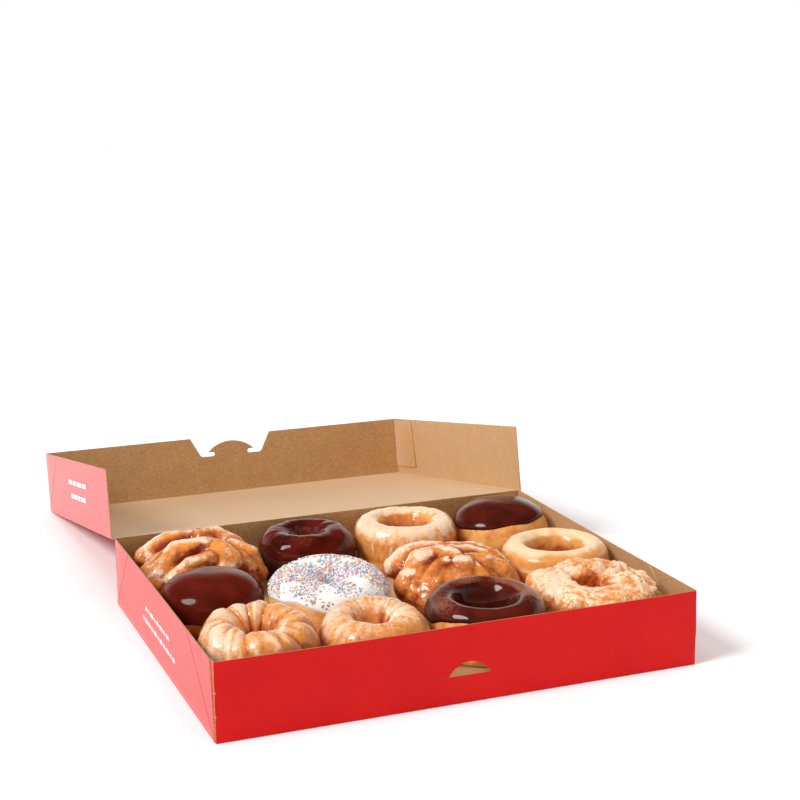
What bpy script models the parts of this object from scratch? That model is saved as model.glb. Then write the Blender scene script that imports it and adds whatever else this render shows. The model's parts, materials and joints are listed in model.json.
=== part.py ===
"""A dozen assorted doughnuts in a hinged paperboard carton, at real size.

Units are metres. The origin is the middle of the tray's underside, +X runs along
the front wall to the right, +Y back to the lid's hinge and +Z up. The lid is laid
open behind the tray. The doughnuts stand on a raised board in the tray, in three
rows of four.
"""
import math

import bmesh
import bpy
from mathutils import Matrix, Vector

MM = 0.001
GAP = 0.3 * MM                 # air kept between pieces that rest on each other

# Carton
TRAY_WIDTH = 380 * MM
TRAY_DEPTH = 316 * MM
TRAY_HEIGHT = 59.5 * MM
BOARD = 0.8 * MM               # paperboard thickness
RIM_NOTCH = (9 * MM, 2.5 * MM)  # length and depth of the relief behind each side wall
PAD_TOP = 19.7 * MM            # upper face of the raised board under the doughnuts
PAD_INSET = 1.8 * MM           # pad edge to the tray's outside, at the sides

# Lid, in its own frame: origin on the hinge, +Y away from it, +Z to the inside
LID_SIDE_CLEARANCE = 1.7 * MM  # leaves room for the glue flaps inside the side walls
LID_REACH = 319 * MM           # hinge to the outside of the front wall
LID_WALL = 59 * MM             # hinge level to the walls' free edge
HINGE_DROP = 0.5 * MM          # hinge axis to the panel's inner face
TABLE_CLEARANCE = 0.2 * MM     # under the open lid's far edge

# Closure: a mushroom tab in a notch of the lid's front wall, and its slit in the tray
NOTCH_X = 3 * MM               # middle of the notch, right of the lid's middle
NOTCH_TOP = 87 * MM            # width at the free edge
NOTCH_FOOT = 65 * MM           # width at the foot
NOTCH_FLOOR = 38.5 * MM        # height above the hinge level
TAB_WIDTH = 50 * MM
TAB_NECK = 36 * MM
TAB_TIP = 43 * MM              # height of the hooks' tips
TAB_TOP = 53.4 * MM
SLOT_X = 1 * MM                # middle of the half-moon, right of the tray's middle
SLOT_WIDTH = 32.5 * MM
SLOT_BASE = 22 * MM
SLOT_RISE = 9.8 * MM
SLIT_LEFT = 12.5 * MM          # left slit's length beyond the half-moon
SLIT_LEFT_DROP = 2.8 * MM
SLIT_RIGHT = 7 * MM            # right slit's length beyond the half-moon
SLIT_RIGHT_DROP = 1.1 * MM
SLIT_WIDTH = 0.5 * MM

# Doughnuts
REST = PAD_TOP + GAP           # level of their undersides
ICING_GAP = 0.35 * MM          # air between dough and icing
SETTLED = 3 * MM               # depth of each underside that is pressed flat
AROUND = 24                    # steps round a smooth doughnut
ACROSS = 10                    # steps round a ring's section
BUN_LEVELS = 8                 # steps from a bun's underside to its top
RING_STEP = math.tau / ACROSS
BUN_STEP = math.pi / BUN_LEVELS


def at(from_left, from_front):
    """Plan position given from the tray's front left corner, in millimetres."""
    return (from_left * MM - TRAY_WIDTH / 2, from_front * MM - TRAY_DEPTH / 2)


# ---------------------------------------------------------------- materials


def finish(name, colour, roughness):
    material = bpy.data.materials.new(name)
    material.use_nodes = True
    shader = material.node_tree.nodes["Principled BSDF"]
    shader.inputs["Base Color"].default_value = (*colour, 1)
    shader.inputs["Roughness"].default_value = roughness
    shader.inputs["Metallic"].default_value = 0
    return material


# ---------------------------------------------------------------- mesh helpers


def object_from(name, mesh_data, material, smooth=True):
    mesh = bpy.data.meshes.new(name)
    bmesh.ops.recalc_face_normals(mesh_data, faces=mesh_data.faces)
    mesh_data.to_mesh(mesh)
    mesh_data.free()
    mesh.materials.append(material)
    if smooth:
        mesh.shade_smooth()
        mesh.set_sharp_from_angle(angle=math.radians(50))
    obj = bpy.data.objects.new(name, mesh)
    bpy.context.scene.collection.objects.link(obj)
    return obj


def box(name, low, high, material):
    mesh_data = bmesh.new()
    bmesh.ops.create_cube(mesh_data, size=1)
    low, high = Vector(low), Vector(high)
    bmesh.ops.scale(mesh_data, vec=high - low, verts=mesh_data.verts)
    bmesh.ops.translate(mesh_data, vec=(low + high) / 2, verts=mesh_data.verts)
    return object_from(name, mesh_data, material, smooth=False)


def prism(name, outline, y_low, y_high, material):
    """An outline of (x, z) points, extruded along Y."""
    mesh_data = bmesh.new()
    corners = [mesh_data.verts.new((x, y_low, z)) for x, z in outline]
    face = mesh_data.faces.new(corners)
    grown = bmesh.ops.extrude_face_region(mesh_data, geom=[face])["geom"]
    moved = [part for part in grown if isinstance(part, bmesh.types.BMVert)]
    bmesh.ops.translate(mesh_data, vec=(0, y_high - y_low, 0), verts=moved)
    return object_from(name, mesh_data, material, smooth=False)


def arc(centre, radius, start, end, steps):
    """Points on an arc in the XZ plane, from one angle to another, in degrees."""
    points = []
    for step in range(steps + 1):
        angle = math.radians(start + (end - start) * step / steps)
        points.append((centre[0] + radius * math.cos(angle), centre[1] + radius * math.sin(angle)))
    return points


def apply_boolean(body, tool, operation):
    tool.parent = body
    modifier = body.modifiers.new(tool.name, "BOOLEAN")
    modifier.operation = operation
    modifier.object = tool
    modifier.solver = "EXACT"
    tool.display_type = "WIRE"
    tool.hide_render = True


def open_box(name, low, high, open_sides, material):
    """A folded board box: its faces towards open_sides are missing."""
    mesh_data = bmesh.new()
    bmesh.ops.create_cube(mesh_data, size=1)
    low, high = Vector(low), Vector(high)
    bmesh.ops.scale(mesh_data, vec=high - low, verts=mesh_data.verts)
    bmesh.ops.translate(mesh_data, vec=(low + high) / 2, verts=mesh_data.verts)
    mesh_data.normal_update()
    missing = [face for face in mesh_data.faces if any(face.normal.dot(side) > 0.9 for side in open_sides)]
    bmesh.ops.delete(mesh_data, geom=missing, context="FACES")
    obj = object_from(name, mesh_data, material, smooth=False)
    board = obj.modifiers.new("board", "SOLIDIFY")
    board.thickness = BOARD
    board.offset = -1
    board.use_even_offset = True
    return obj


# ---------------------------------------------------------------- carton


def slot_outline():
    """Half-moon with a thin slit running down and out from each end."""
    half = SLOT_WIDTH / 2
    radius = (half * half + SLOT_RISE * SLOT_RISE) / (2 * SLOT_RISE)
    rise = math.degrees(math.asin(half / radius))
    top = arc((SLOT_X, SLOT_BASE + SLOT_RISE - radius), radius, 90 - rise, 90 + rise, 12)
    left_x, left_z = SLOT_X - half - SLIT_LEFT, SLOT_BASE - SLIT_LEFT_DROP
    right_x, right_z = SLOT_X + half + SLIT_RIGHT, SLOT_BASE - SLIT_RIGHT_DROP
    left = [(left_x, left_z + SLIT_WIDTH), (left_x, left_z)]
    right = [(right_x, right_z), (right_x, right_z + SLIT_WIDTH)]
    inner = half - 2 * SLIT_WIDTH
    foot = [(SLOT_X - inner, SLOT_BASE - SLIT_WIDTH), (SLOT_X + inner, SLOT_BASE - SLIT_WIDTH)]
    return top + left + foot + right


def make_tray(material):
    half_x, half_y = TRAY_WIDTH / 2, TRAY_DEPTH / 2
    tray = open_box("tray", (-half_x, -half_y, 0), (half_x, half_y, TRAY_HEIGHT), [Vector((0, 0, 1))], material)
    slot = prism("slot_cutter", slot_outline(), -half_y - 5 * MM, -half_y + 5 * MM, material)
    apply_boolean(tray, slot, "DIFFERENCE")
    length, depth = RIM_NOTCH
    for side in (-1, 1):
        low = (side * half_x - 3 * MM, half_y - BOARD - length, TRAY_HEIGHT - depth)
        high = (side * half_x + 3 * MM, half_y - BOARD - GAP, TRAY_HEIGHT + 5 * MM)
        notch = box("rim_notch_cutter_left" if side < 0 else "rim_notch_cutter_right", low, high, material)
        apply_boolean(tray, notch, "DIFFERENCE")
    return tray


def make_pad(material):
    """The raised board: a shallow folded tray turned over, standing on its edges."""
    half_x, half_y = TRAY_WIDTH / 2 - PAD_INSET, TRAY_DEPTH / 2 - PAD_INSET
    low = (-half_x, -half_y, BOARD + GAP)
    return open_box("pad", low, (half_x, half_y, PAD_TOP), [Vector((0, 0, -1))], material)


def hook_slot(side, bend):
    """The rounded slot under one hook of the tab, from its tip in and out again."""
    middle = (NOTCH_FLOOR + TAB_TIP) / 2
    inner = side * TAB_NECK / 2
    turn = arc((inner + side * bend, middle), bend, 90, 270, 6)
    if side < 0:
        turn = arc((inner + side * bend, middle), bend, 90, -90, 6)
    return [(side * TAB_WIDTH / 2, TAB_TIP)] + turn


def notch_outline():
    """The notch in the lid's front wall, leaving the mushroom tab standing in it."""
    above = LID_WALL + 4 * MM
    bend = (TAB_TIP - NOTCH_FLOOR) / 2
    half = TAB_WIDTH / 2
    rise = TAB_TOP - TAB_TIP
    radius = (half * half + rise * rise) / (2 * rise)
    spread = math.degrees(math.asin(half / radius))
    slope = (NOTCH_TOP - NOTCH_FOOT) / 2 / (LID_WALL - NOTCH_FLOOR)
    outer = NOTCH_TOP / 2 + slope * (above - LID_WALL)
    corner = [(NOTCH_FOOT / 2 + 1.6 * MM, NOTCH_FLOOR + 2.4 * MM), (NOTCH_FOOT / 2, NOTCH_FLOOR + 0.7 * MM)]
    corner.append((NOTCH_FOOT / 2 - 2.2 * MM, NOTCH_FLOOR))
    left = [(-outer, above)] + [(-x, z) for x, z in corner]
    right = [(x, z) for x, z in reversed(corner)] + [(outer, above)]
    dome = arc((0, TAB_TOP - radius), radius, 90 + spread, 90 - spread, 14)
    outline = left + hook_slot(-1, bend)[::-1] + dome[1:-1] + hook_slot(1, bend) + right
    return [(x + NOTCH_X, z) for x, z in outline]


def make_lid(material):
    """Modelled flat about its hinge, then laid back until its far edge nears the table."""
    half = TRAY_WIDTH / 2 + LID_SIDE_CLEARANCE + BOARD
    outer = -HINGE_DROP - BOARD
    low, high = (-half, GAP, outer), (half, LID_REACH, LID_WALL)
    lid = open_box("lid", low, high, [Vector((0, 0, 1)), Vector((0, -1, 0))], material)
    notch = prism("notch_cutter", notch_outline(), LID_REACH - 6 * MM, LID_REACH + 6 * MM, material)
    apply_boolean(lid, notch, "DIFFERENCE")
    for side in (-1, 1):
        inside = side * (half - BOARD)
        edges = sorted((inside - side * BOARD, inside + side * BOARD / 2))
        flap_low = (edges[0], LID_REACH - 57 * MM, -HINGE_DROP + 8 * MM)
        flap_high = (edges[1], LID_REACH - BOARD / 2, LID_WALL - 2 * MM)
        flap = box("lid_flap_left" if side < 0 else "lid_flap_right", flap_low, flap_high, material)
        apply_boolean(lid, flap, "UNION")
    lid.location = (0, TRAY_DEPTH / 2, TRAY_HEIGHT)
    reach = math.hypot(LID_REACH, outer)
    drop = math.asin((TRAY_HEIGHT - TABLE_CLEARANCE) / reach) - math.atan2(-outer, LID_REACH)
    lid.rotation_euler = (-drop, 0, 0)
    return lid


# ---------------------------------------------------------------- doughnut surfaces
# A surface takes (u, v, lift): u is the angle round the doughnut, v the angle round
# its section (0 outside, 90 degrees on top, 180 at the hole), lift the height of the
# point above the crust. It gives a point about the doughnut's own middle.


def rounded(angle, power):
    """A point on a unit superellipse: square-shouldered as power passes 2."""
    x, y = math.cos(angle), math.sin(angle)
    return (math.copysign(abs(x) ** (2 / power), x), math.copysign(abs(y) ** (2 / power), y))


def bump(angle, centre, width):
    """A smooth bump of height 1 about an angle, in degrees."""
    away = (math.degrees(angle) - centre + 180) % 360 - 180
    return math.exp(-(away / width) ** 2)


def ring_surface(outer, hole, height, power, relief):
    def surface(u, v, lift=0):
        side, top = rounded(v, power)
        grown = relief(u, v) + lift
        radius = (outer + hole) / 2 + ((outer - hole) / 2 + grown) * side
        return Vector((radius * math.cos(u), radius * math.sin(u), (height / 2 + grown) * top))
    return surface


def bun_surface(outer, height, power, relief):
    def surface(u, v, lift=0):
        side, top = rounded(v, power)
        grown = relief(u, v) * math.cos(v) + lift
        radius = (outer + grown) * max(side, 0)
        return Vector((radius * math.cos(u), radius * math.sin(u), (height / 2 + grown) * top))
    return surface


def gentle(amount, seed):
    """Slow unevenness of hand-made dough."""
    def relief(u, v):
        wave = math.sin(2 * u + seed) + 0.6 * math.sin(3 * u - 1.7 * seed) + 0.5 * math.sin(2 * v + u + seed)
        return amount * wave * MM
    return relief


def cruller_relief(u, v):
    """Eleven round flutes that twist as they pass over the ring."""
    flute = abs(math.cos((11 * u + 1.5 * v) / 2))
    depth = 2.6 + 1.6 * math.cos(v)
    return depth * (flute ** 0.8 - 0.75) * MM


def pinched_relief(u, v):
    """Four creases that close the hole, on uneven dough."""
    crease = abs(math.sin(2 * u + 0.5)) ** 0.5
    at_hole = bump(v, 170, 45)
    return (2.6 * at_hole * (1 - crease) * -1 + 2.0 * at_hole + 0.5 * math.sin(3 * u + 2)) * MM


def petal_relief(u, v):
    """An old-fashioned: split outer petals, one crumb lobe raised at the hole, and a long petal."""
    petal = abs(math.sin(4 * u + 0.4)) ** 0.6
    outside = bump(v, 25, 40)
    split = bump(v, 62, 16)
    lobe = bump(u, 95, 30) * bump(v, 120, 36)
    shoulder = bump(u, 115, 55) * bump(v, 48, 26)
    long_petal = bump(u, 152, 14) * bump(v, 28, 34)
    relief = 2.2 * outside * (petal - 0.6) - 1.8 * split * petal + 4.4 * lobe
    return (relief + 2.6 * shoulder + 9.5 * long_petal) * MM


# ---------------------------------------------------------------- doughnut bodies


def spun(profile_size, around, closed):
    """A tagged profile turned into a full ring: each vertex knows its place on it."""
    mesh_data = bmesh.new()
    place = mesh_data.verts.layers.int.new("place")
    points = []
    for index in range(profile_size):
        angle = math.tau * index / profile_size
        points.append(mesh_data.verts.new((3 + math.cos(angle), 0, math.sin(angle))))
        points[-1][place] = index
    edges = [mesh_data.edges.new(pair) for pair in zip(points, points[1:])]
    if closed:
        edges.append(mesh_data.edges.new((points[-1], points[0])))
    geometry = points + edges
    bmesh.ops.spin(
        mesh_data, geom=geometry, cent=(0, 0, 0), axis=(0, 0, 1), angle=math.tau, steps=around, use_merge=True
    )
    return mesh_data, place


def settle(mesh_data, pose):
    """Tilt and place a doughnut, and flatten what would sink into the board."""
    bmesh.ops.transform(mesh_data, matrix=pose, verts=mesh_data.verts)
    for vertex in mesh_data.verts:
        vertex.co.z = max(vertex.co.z, REST)


def stand(from_left, from_front, top, tilt=0):
    """Pose and full height of a doughnut on the board, its top at the given level."""
    height = top * MM - REST + SETTLED
    x, y = at(from_left, from_front)
    pose = Matrix.Translation((x, y, top * MM - height / 2))
    return pose @ Matrix.Rotation(math.radians(tilt), 4, "X"), height


def make_ring(name, surface, pose, material, around=AROUND, across=ACROSS):
    mesh_data, place = spun(across, around, closed=True)
    for vertex in mesh_data.verts:
        u = math.atan2(vertex.co.y, vertex.co.x)
        vertex.co = surface(u, math.tau * vertex[place] / across)
    settle(mesh_data, pose)
    return object_from(name, mesh_data, material)


def make_bun(name, surface, pose, material, around=AROUND, levels=BUN_LEVELS):
    """A bun without a hole: its profile runs from the underside's middle to the top's."""
    mesh_data, place = spun(levels + 1, around, closed=False)
    for vertex in mesh_data.verts:
        u = math.atan2(vertex.co.y, vertex.co.x)
        vertex.co = surface(u, math.pi * (vertex[place] / levels - 0.5))
    bmesh.ops.remove_doubles(mesh_data, verts=mesh_data.verts, dist=0.01 * MM)
    settle(mesh_data, pose)
    return object_from(name, mesh_data, material)


def edge_share(u, seed, drape=0.5):
    """How far the icing runs on to the next section step: a wavy edge."""
    return drape * (1 + 0.6 * math.sin(3 * u + seed) + 0.3 * math.sin(7 * u + 2 * seed))


def icing_point(surface, u, angles, index, shares, lift):
    """A point over the crust's own facets, between two of its section steps at the ends."""
    if index == 0:
        return surface(u, angles[0], lift).lerp(surface(u, angles[1], lift), 1 - shares[0])
    if index == len(angles) - 1:
        return surface(u, angles[-2], lift).lerp(surface(u, angles[-1], lift), shares[1])
    return surface(u, angles[index], lift)


def make_icing(name, surface, pose, material, steps, step_angle, thickness, seed, drape=0.5):
    """A cap of icing over a range of section steps, clear of the dough below.

    Drape is the share of the first step, counted from its far end, that it hangs over.
    """
    angles = [step_angle * step for step in range(steps[0], steps[1] + 1)]
    count = len(angles)
    to_pole = abs(angles[-1] - math.pi / 2) < 0.001
    mesh_data, place = spun(2 * count, AROUND, closed=True)
    for vertex in mesh_data.verts:
        u = math.atan2(vertex.co.y, vertex.co.x)
        index = vertex[place]
        outside = index < count
        index = index if outside else 2 * count - 1 - index
        lift = ICING_GAP + (thickness if outside else 0)
        if to_pole and index == count - 1:
            vertex.co = surface(u, angles[-1], lift)
        else:
            shares = edge_share(u, seed, drape), edge_share(u, seed)
            vertex.co = icing_point(surface, u, angles, index, shares, lift)
    bmesh.ops.remove_doubles(mesh_data, verts=mesh_data.verts, dist=0.01 * MM)
    bmesh.ops.transform(mesh_data, matrix=pose, verts=mesh_data.verts)
    return object_from(name, mesh_data, material)


# ---------------------------------------------------------------- fritters
# A finger is a chain of balls (x, y, z, radius), in millimetres about the fritter's
# middle. The crust is what a ray from the middle meets last of core and fingers.

BACK_FRITTER = {
    "core": (49, 37, 27),
    "fingers": [
        [(2, 20, 15, 9), (-22, 23, 14, 10), (-42, 19, 4, 10)],
        [(5, 13, 17, 9), (18, 15, 17, 9), (31, 3, 12, 8)],
        [(2, -10, 16, 10), (-20, -5, 14, 10), (-38, -16, 1, 10)],
        [(2, -26, 11, 7), (-16, -28, 8, 8), (-29, -31, -1, 8)],
        [(-45, -6, -4, 11), (-44, -22, -8, 10)],
        [(12, -16, 12, 12), (18, -24, 6, 12), (12, -30, -2, 10)],
        [(26, -8, 12, 9), (38, -14, 6, 9), (44, -18, -8, 9)],
        [(30, 2, 10, 8), (42, 0, 0, 9), (46, -6, -12, 8)],
        [(28, -22, 6, 8), (35, -24, -2, 8), (38, -21, -14, 8)],
    ],
}
MIDDLE_FRITTER = {
    "core": (47, 39, 26),
    "fingers": [
        [(2, 27, 15, 8), (-12, 29, 16, 9), (-30, 27, 14, 9), (-41, 22, 8, 9)],
        [(-4, 14, 15, 10), (-22, 10, 12, 12), (-38, -2, -1, 12)],
        [(2, 8, 13, 11), (4, -12, 9, 13), (3, -27, -4, 13)],
        [(-6, -6, 9, 12), (-18, -18, 0, 13), (-27, -22, -8, 12)],
        [(12, -4, 12, 9), (26, -10, 10, 10), (37, -14, 6, 10), (43, -20, -5, 9)],
        [(6, 14, 16, 8), (22, 12, 14, 8), (34, 2, 10, 8)],
        [(8, 26, 14, 8), (27, 20, 13, 9), (38, 5, 10, 9), (44, -10, 4, 8), (44, -18, -6, 9)],
    ],
}
FRITTER_MIDDLE_Z = -6          # height of the rays' middle and of the core's, in millimetres


def finger_distance(point, finger):
    """Signed distance to a chain of balls with straight runs between them."""
    nearest = math.inf
    for start, end in zip(finger, finger[1:]):
        origin, run = Vector(start[:3]), Vector(end[:3]) - Vector(start[:3])
        along = min(1, max(0, (point - origin).dot(run) / run.length_squared))
        radius = start[3] + (end[3] - start[3]) * along
        nearest = min(nearest, (point - origin - run * along).length - radius)
    return nearest


def fritter_distance(point, fritter):
    core = fritter["core"]
    shape = Vector((point.x / core[0], point.y / core[1], (point.z - FRITTER_MIDDLE_Z) / core[2]))
    steep = Vector((shape.x / core[0], shape.y / core[1], shape.z / core[2]))
    inside = shape.length * (shape.length - 1) / max(steep.length, 1e-6)
    return min([inside] + [finger_distance(point, finger) for finger in fritter["fingers"]])


def fritter_surface(fritter):
    def surface(u, v, lift=0):
        heading = Vector((math.cos(v) * math.cos(u), math.cos(v) * math.sin(u), 0.8 * math.sin(v))).normalized()
        middle = Vector((0, 0, FRITTER_MIDDLE_Z))
        reach = 80.0
        for _ in range(60):
            gap = fritter_distance(middle + heading * reach, fritter)
            reach -= 0.8 * gap
        return (middle + heading * reach) * MM
    return surface


# ---------------------------------------------------------------- front row, from the left


def make_cruller(paint):
    pose, height = stand(49.3, 57.0, top=66.5, tilt=5)
    surface = ring_surface(45.2 * MM, 9 * MM, height, 2.1, cruller_relief)
    return make_ring("cruller", surface, pose, paint["glazed_dough"], around=44, across=9)


def make_pinched_ring(paint):
    pose, height = stand(136.2, 48.8, top=62.5, tilt=5)
    surface = ring_surface(42 * MM, 7 * MM, height, 2.2, pinched_relief)
    return make_ring("pinched_ring", surface, pose, paint["glazed_dough"])


def make_dipped_ring(paint):
    pose, height = stand(225, 48, top=62.6, tilt=3)
    surface = ring_surface(45 * MM, 18.5 * MM, height, 2.3, gentle(0.4, 1.0))
    make_ring("dipped_ring", surface, pose, paint["golden_dough"])
    icing = paint["chocolate_icing"]
    make_icing("dipped_ring_icing", surface, pose, icing, (0, 5), RING_STEP, 1.8 * MM, 1.0, drape=0.2)


def make_old_fashioned(paint):
    pose, height = stand(321.6, 51.6, top=64, tilt=3)
    surface = ring_surface(49 * MM, 10 * MM, height, 2.4, petal_relief)
    return make_ring("old_fashioned", surface, pose, paint["craggy_dough"], around=36)


# ---------------------------------------------------------------- middle row, from the left


def make_filled_bun_middle(paint):
    pose, height = stand(46.4, 174.6, top=64)
    surface = bun_surface(39.8 * MM, height, 2.5, gentle(0.3, 2.0))
    make_bun("filled_bun_middle", surface, pose, paint["golden_dough"])
    make_icing("filled_bun_middle_icing", surface, pose, paint["chocolate_icing"], (-1, 4), BUN_STEP, 1.6 * MM, 2.0)


def make_sprinkled_ring(paint):
    pose, height = stand(132.6, 142.0, top=63, tilt=8)
    surface = ring_surface(47.8 * MM, 4.5 * MM, height, 2.2, gentle(0.5, 3.0))
    make_ring("sprinkled_ring", surface, pose, paint["golden_dough"])
    icing = paint["white_icing"]
    make_icing("sprinkled_ring_icing", surface, pose, icing, (0, 5), RING_STEP, 1.8 * MM, 3.0, drape=0.2)


def make_middle_fritter(paint):
    pose = Matrix.Translation((*at(236.0, 139.5), 46 * MM))
    surface = fritter_surface(MIDDLE_FRITTER)
    return make_bun("middle_fritter", surface, pose, paint["glazed_dough"], around=36, levels=12)


def make_maple_ring(paint):
    pose, height = stand(333.0, 147.2, top=64)
    surface = ring_surface(46 * MM, 20 * MM, height, 2.3, gentle(0.4, 4.0))
    return make_ring("maple_ring", surface, pose, paint["maple_icing"])


# ---------------------------------------------------------------- back row, from the left


def make_back_fritter(paint):
    pose = Matrix.Translation((*at(60.2, 262.3), 44.8 * MM))
    surface = fritter_surface(BACK_FRITTER)
    return make_bun("back_fritter", surface, pose, paint["glazed_dough"], around=36, levels=12)


def make_cake_ring(paint):
    pose, height = stand(157.2, 271.6, top=60.6)
    surface = ring_surface(41.6 * MM, 6 * MM, height, 2.2, gentle(0.4, 5.0))
    make_ring("cake_ring", surface, pose, paint["chocolate_dough"])
    make_icing("cake_ring_icing", surface, pose, paint["chocolate_icing"], (0, 5), RING_STEP, 1.8 * MM, 5.0)


def make_tall_ring(paint):
    pose, height = stand(246.4, 266.6, top=62.0)
    surface = ring_surface(46.8 * MM, 19 * MM, height, 2.6, gentle(0.5, 6.0))
    return make_ring("tall_ring", surface, pose, paint["glazed_dough"])


def make_filled_bun_back(paint):
    pose, height = stand(335.2, 260.0, top=68.4)
    surface = bun_surface(42 * MM, height, 2.3, gentle(0.3, 7.0))
    make_bun("filled_bun_back", surface, pose, paint["golden_dough"])
    icing = paint["chocolate_icing"]
    make_icing("filled_bun_back_icing", surface, pose, icing, (0, 4), BUN_STEP, 1.6 * MM, 7.0, drape=0.15)


def main():
    for obj in list(bpy.data.objects):
        bpy.data.objects.remove(obj)
    paint = {
        "carton": finish("red_and_kraft_board", (0.70, 0.02, 0.02), 0.45),
        "kraft": finish("kraft_board", (0.45, 0.27, 0.12), 0.8),
        "glazed_dough": finish("glazed_dough", (0.72, 0.36, 0.12), 0.25),
        "golden_dough": finish("golden_dough", (0.75, 0.38, 0.12), 0.5),
        "craggy_dough": finish("craggy_dough", (0.78, 0.47, 0.22), 0.45),
        "chocolate_dough": finish("chocolate_dough", (0.06, 0.02, 0.015), 0.7),
        "chocolate_icing": finish("chocolate_icing", (0.05, 0.012, 0.01), 0.15),
        "maple_icing": finish("maple_icing", (0.80, 0.50, 0.24), 0.25),
        "white_icing": finish("white_icing", (0.80, 0.80, 0.78), 0.35),
    }
    make_tray(paint["carton"])
    make_pad(paint["kraft"])
    make_lid(paint["carton"])
    make_cruller(paint)
    make_pinched_ring(paint)
    make_dipped_ring(paint)
    make_old_fashioned(paint)
    make_filled_bun_middle(paint)
    make_sprinkled_ring(paint)
    make_middle_fritter(paint)
    make_maple_ring(paint)
    make_back_fritter(paint)
    make_cake_ring(paint)
    make_tall_ring(paint)
    make_filled_bun_back(paint)


main()
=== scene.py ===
"""Looks of a paperboard doughnut carton, its lid laid open, and the doughnuts in it.

The CAD frame: +X to the right along the front wall, +Y back to the hinge, +Z up, origin in
the middle of the tray's underside. Shapes are worked out in millimetres, and mesh_of and
move_points turn them into metres. HINGE, and poses applied to finished meshes, are metres.
"""
import itertools
import json
import math

import bmesh
import bpy
import numpy as np
from mathutils import Matrix, Vector


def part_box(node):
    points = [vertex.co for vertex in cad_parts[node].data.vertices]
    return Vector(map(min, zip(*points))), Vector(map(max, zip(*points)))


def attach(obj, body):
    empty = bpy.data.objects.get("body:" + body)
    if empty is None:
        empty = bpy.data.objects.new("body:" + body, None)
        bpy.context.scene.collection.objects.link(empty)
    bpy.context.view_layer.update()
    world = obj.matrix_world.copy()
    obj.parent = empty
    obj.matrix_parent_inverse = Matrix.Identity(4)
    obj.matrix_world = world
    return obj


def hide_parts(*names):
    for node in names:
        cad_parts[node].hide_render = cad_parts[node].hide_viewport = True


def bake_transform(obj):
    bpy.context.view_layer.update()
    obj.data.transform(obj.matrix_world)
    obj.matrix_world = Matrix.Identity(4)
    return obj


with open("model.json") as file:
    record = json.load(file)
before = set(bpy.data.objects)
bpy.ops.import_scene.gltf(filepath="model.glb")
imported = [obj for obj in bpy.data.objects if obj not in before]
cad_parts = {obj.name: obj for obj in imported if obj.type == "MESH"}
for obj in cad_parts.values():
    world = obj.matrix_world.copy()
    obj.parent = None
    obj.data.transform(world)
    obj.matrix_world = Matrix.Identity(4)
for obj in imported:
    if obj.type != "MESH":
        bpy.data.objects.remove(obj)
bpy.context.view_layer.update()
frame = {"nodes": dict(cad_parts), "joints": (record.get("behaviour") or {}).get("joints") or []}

MM = 0.001
HALF_X, HALF_Y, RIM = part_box("tray")[1] / MM
LID_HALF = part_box("lid")[1].x / MM
LID_REACH, LID_WALL = 319, 59
HINGE = Vector(frame["joints"][0]["pos_m"])
HINGE_DROP = 0.5                # the lid's panel lies this far below the hinge line
BOARD = 0.8
ON_PLANE = 0.01                 # a point this close to a cutting plane lies on it
WALL_SKIN = 1.5                 # a point this close to a wall's outside belongs to the wall
CRISP = math.radians(26)        # a sharper fold than this is shaded as an edge
SQUARE_ON = 0.9                 # a face whose normal has this share along an axis looks that way
INSIDE, CUT_EDGE = 1, 2         # a board's finishes, after its outside
REST = 20                       # level of the doughnuts' undersides
SETTLED = 3                     # how much of a doughnut's plain shape is pressed into its flat foot


# ---------------- seeded noise

SHUFFLE = np.random.default_rng(11).permutation(256)
SLOPES = np.random.default_rng(12).normal(size=(256, 3))
SLOPES /= np.linalg.norm(SLOPES, axis=1)[:, None]
SEED_STEP = 7.31                # how far apart two seeds take their noise
SPREAD = 1.6                    # brings the noise up to about -1 to 1


def waves(points, size, seed):
    """Smooth unevenness, about -1 to 1, with bumps of the given size."""
    place = points / size + seed * SEED_STEP
    cell = np.floor(place).astype(int)
    part = place - cell
    fade = part ** 3 * (part * (part * 6 - 15) + 10)
    total = np.zeros(len(points))
    for corner in itertools.product((0, 1), repeat=3):
        pick = cell + corner
        row = SHUFFLE[pick[:, 0] & 255]
        row = SHUFFLE[(row + pick[:, 1]) & 255]
        row = SHUFFLE[(row + pick[:, 2]) & 255]
        weight = np.prod(np.where(corner, fade, 1 - fade), axis=1)
        total += weight * (SLOPES[row] * (part - corner)).sum(1)
    return total * SPREAD


def rough(points, size, layers, seed):
    """Unevenness with finer and finer layers, over points in rows of any kind."""
    flat = points.reshape(-1, 3)
    total = sum(waves(flat, size / 2 ** k, seed + k) / 2 ** k for k in range(layers))
    return total.reshape(points.shape[:-1])


def ease(value, low, high):
    """0 below low, 1 above high, smooth between."""
    share = np.clip((value - low) / (high - low), 0, 1)
    return share * share * (3 - 2 * share)


def bell(value, centre, width):
    return np.exp(-((value - centre) / width) ** 2)


def turned(angle, centre):
    """Angle from a centre, in degrees, between -180 and 180."""
    return (np.degrees(angle) - centre + 180) % 360 - 180


def bump(angle, centre, width):
    """1 at an angle, falling off to both sides, with centre and width in degrees."""
    return bell(turned(angle, centre), 0, width)


# ---------------- shader helpers


def paint(red, green, blue, shade=1.0):
    """A colour given as 0 to 255, made linear."""
    shares = [shade * c / 255 for c in (red, green, blue)]
    return (*[((c + 0.055) / 1.055) ** 2.4 if c > 0.04 else c / 12.92 for c in shares], 1)


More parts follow.
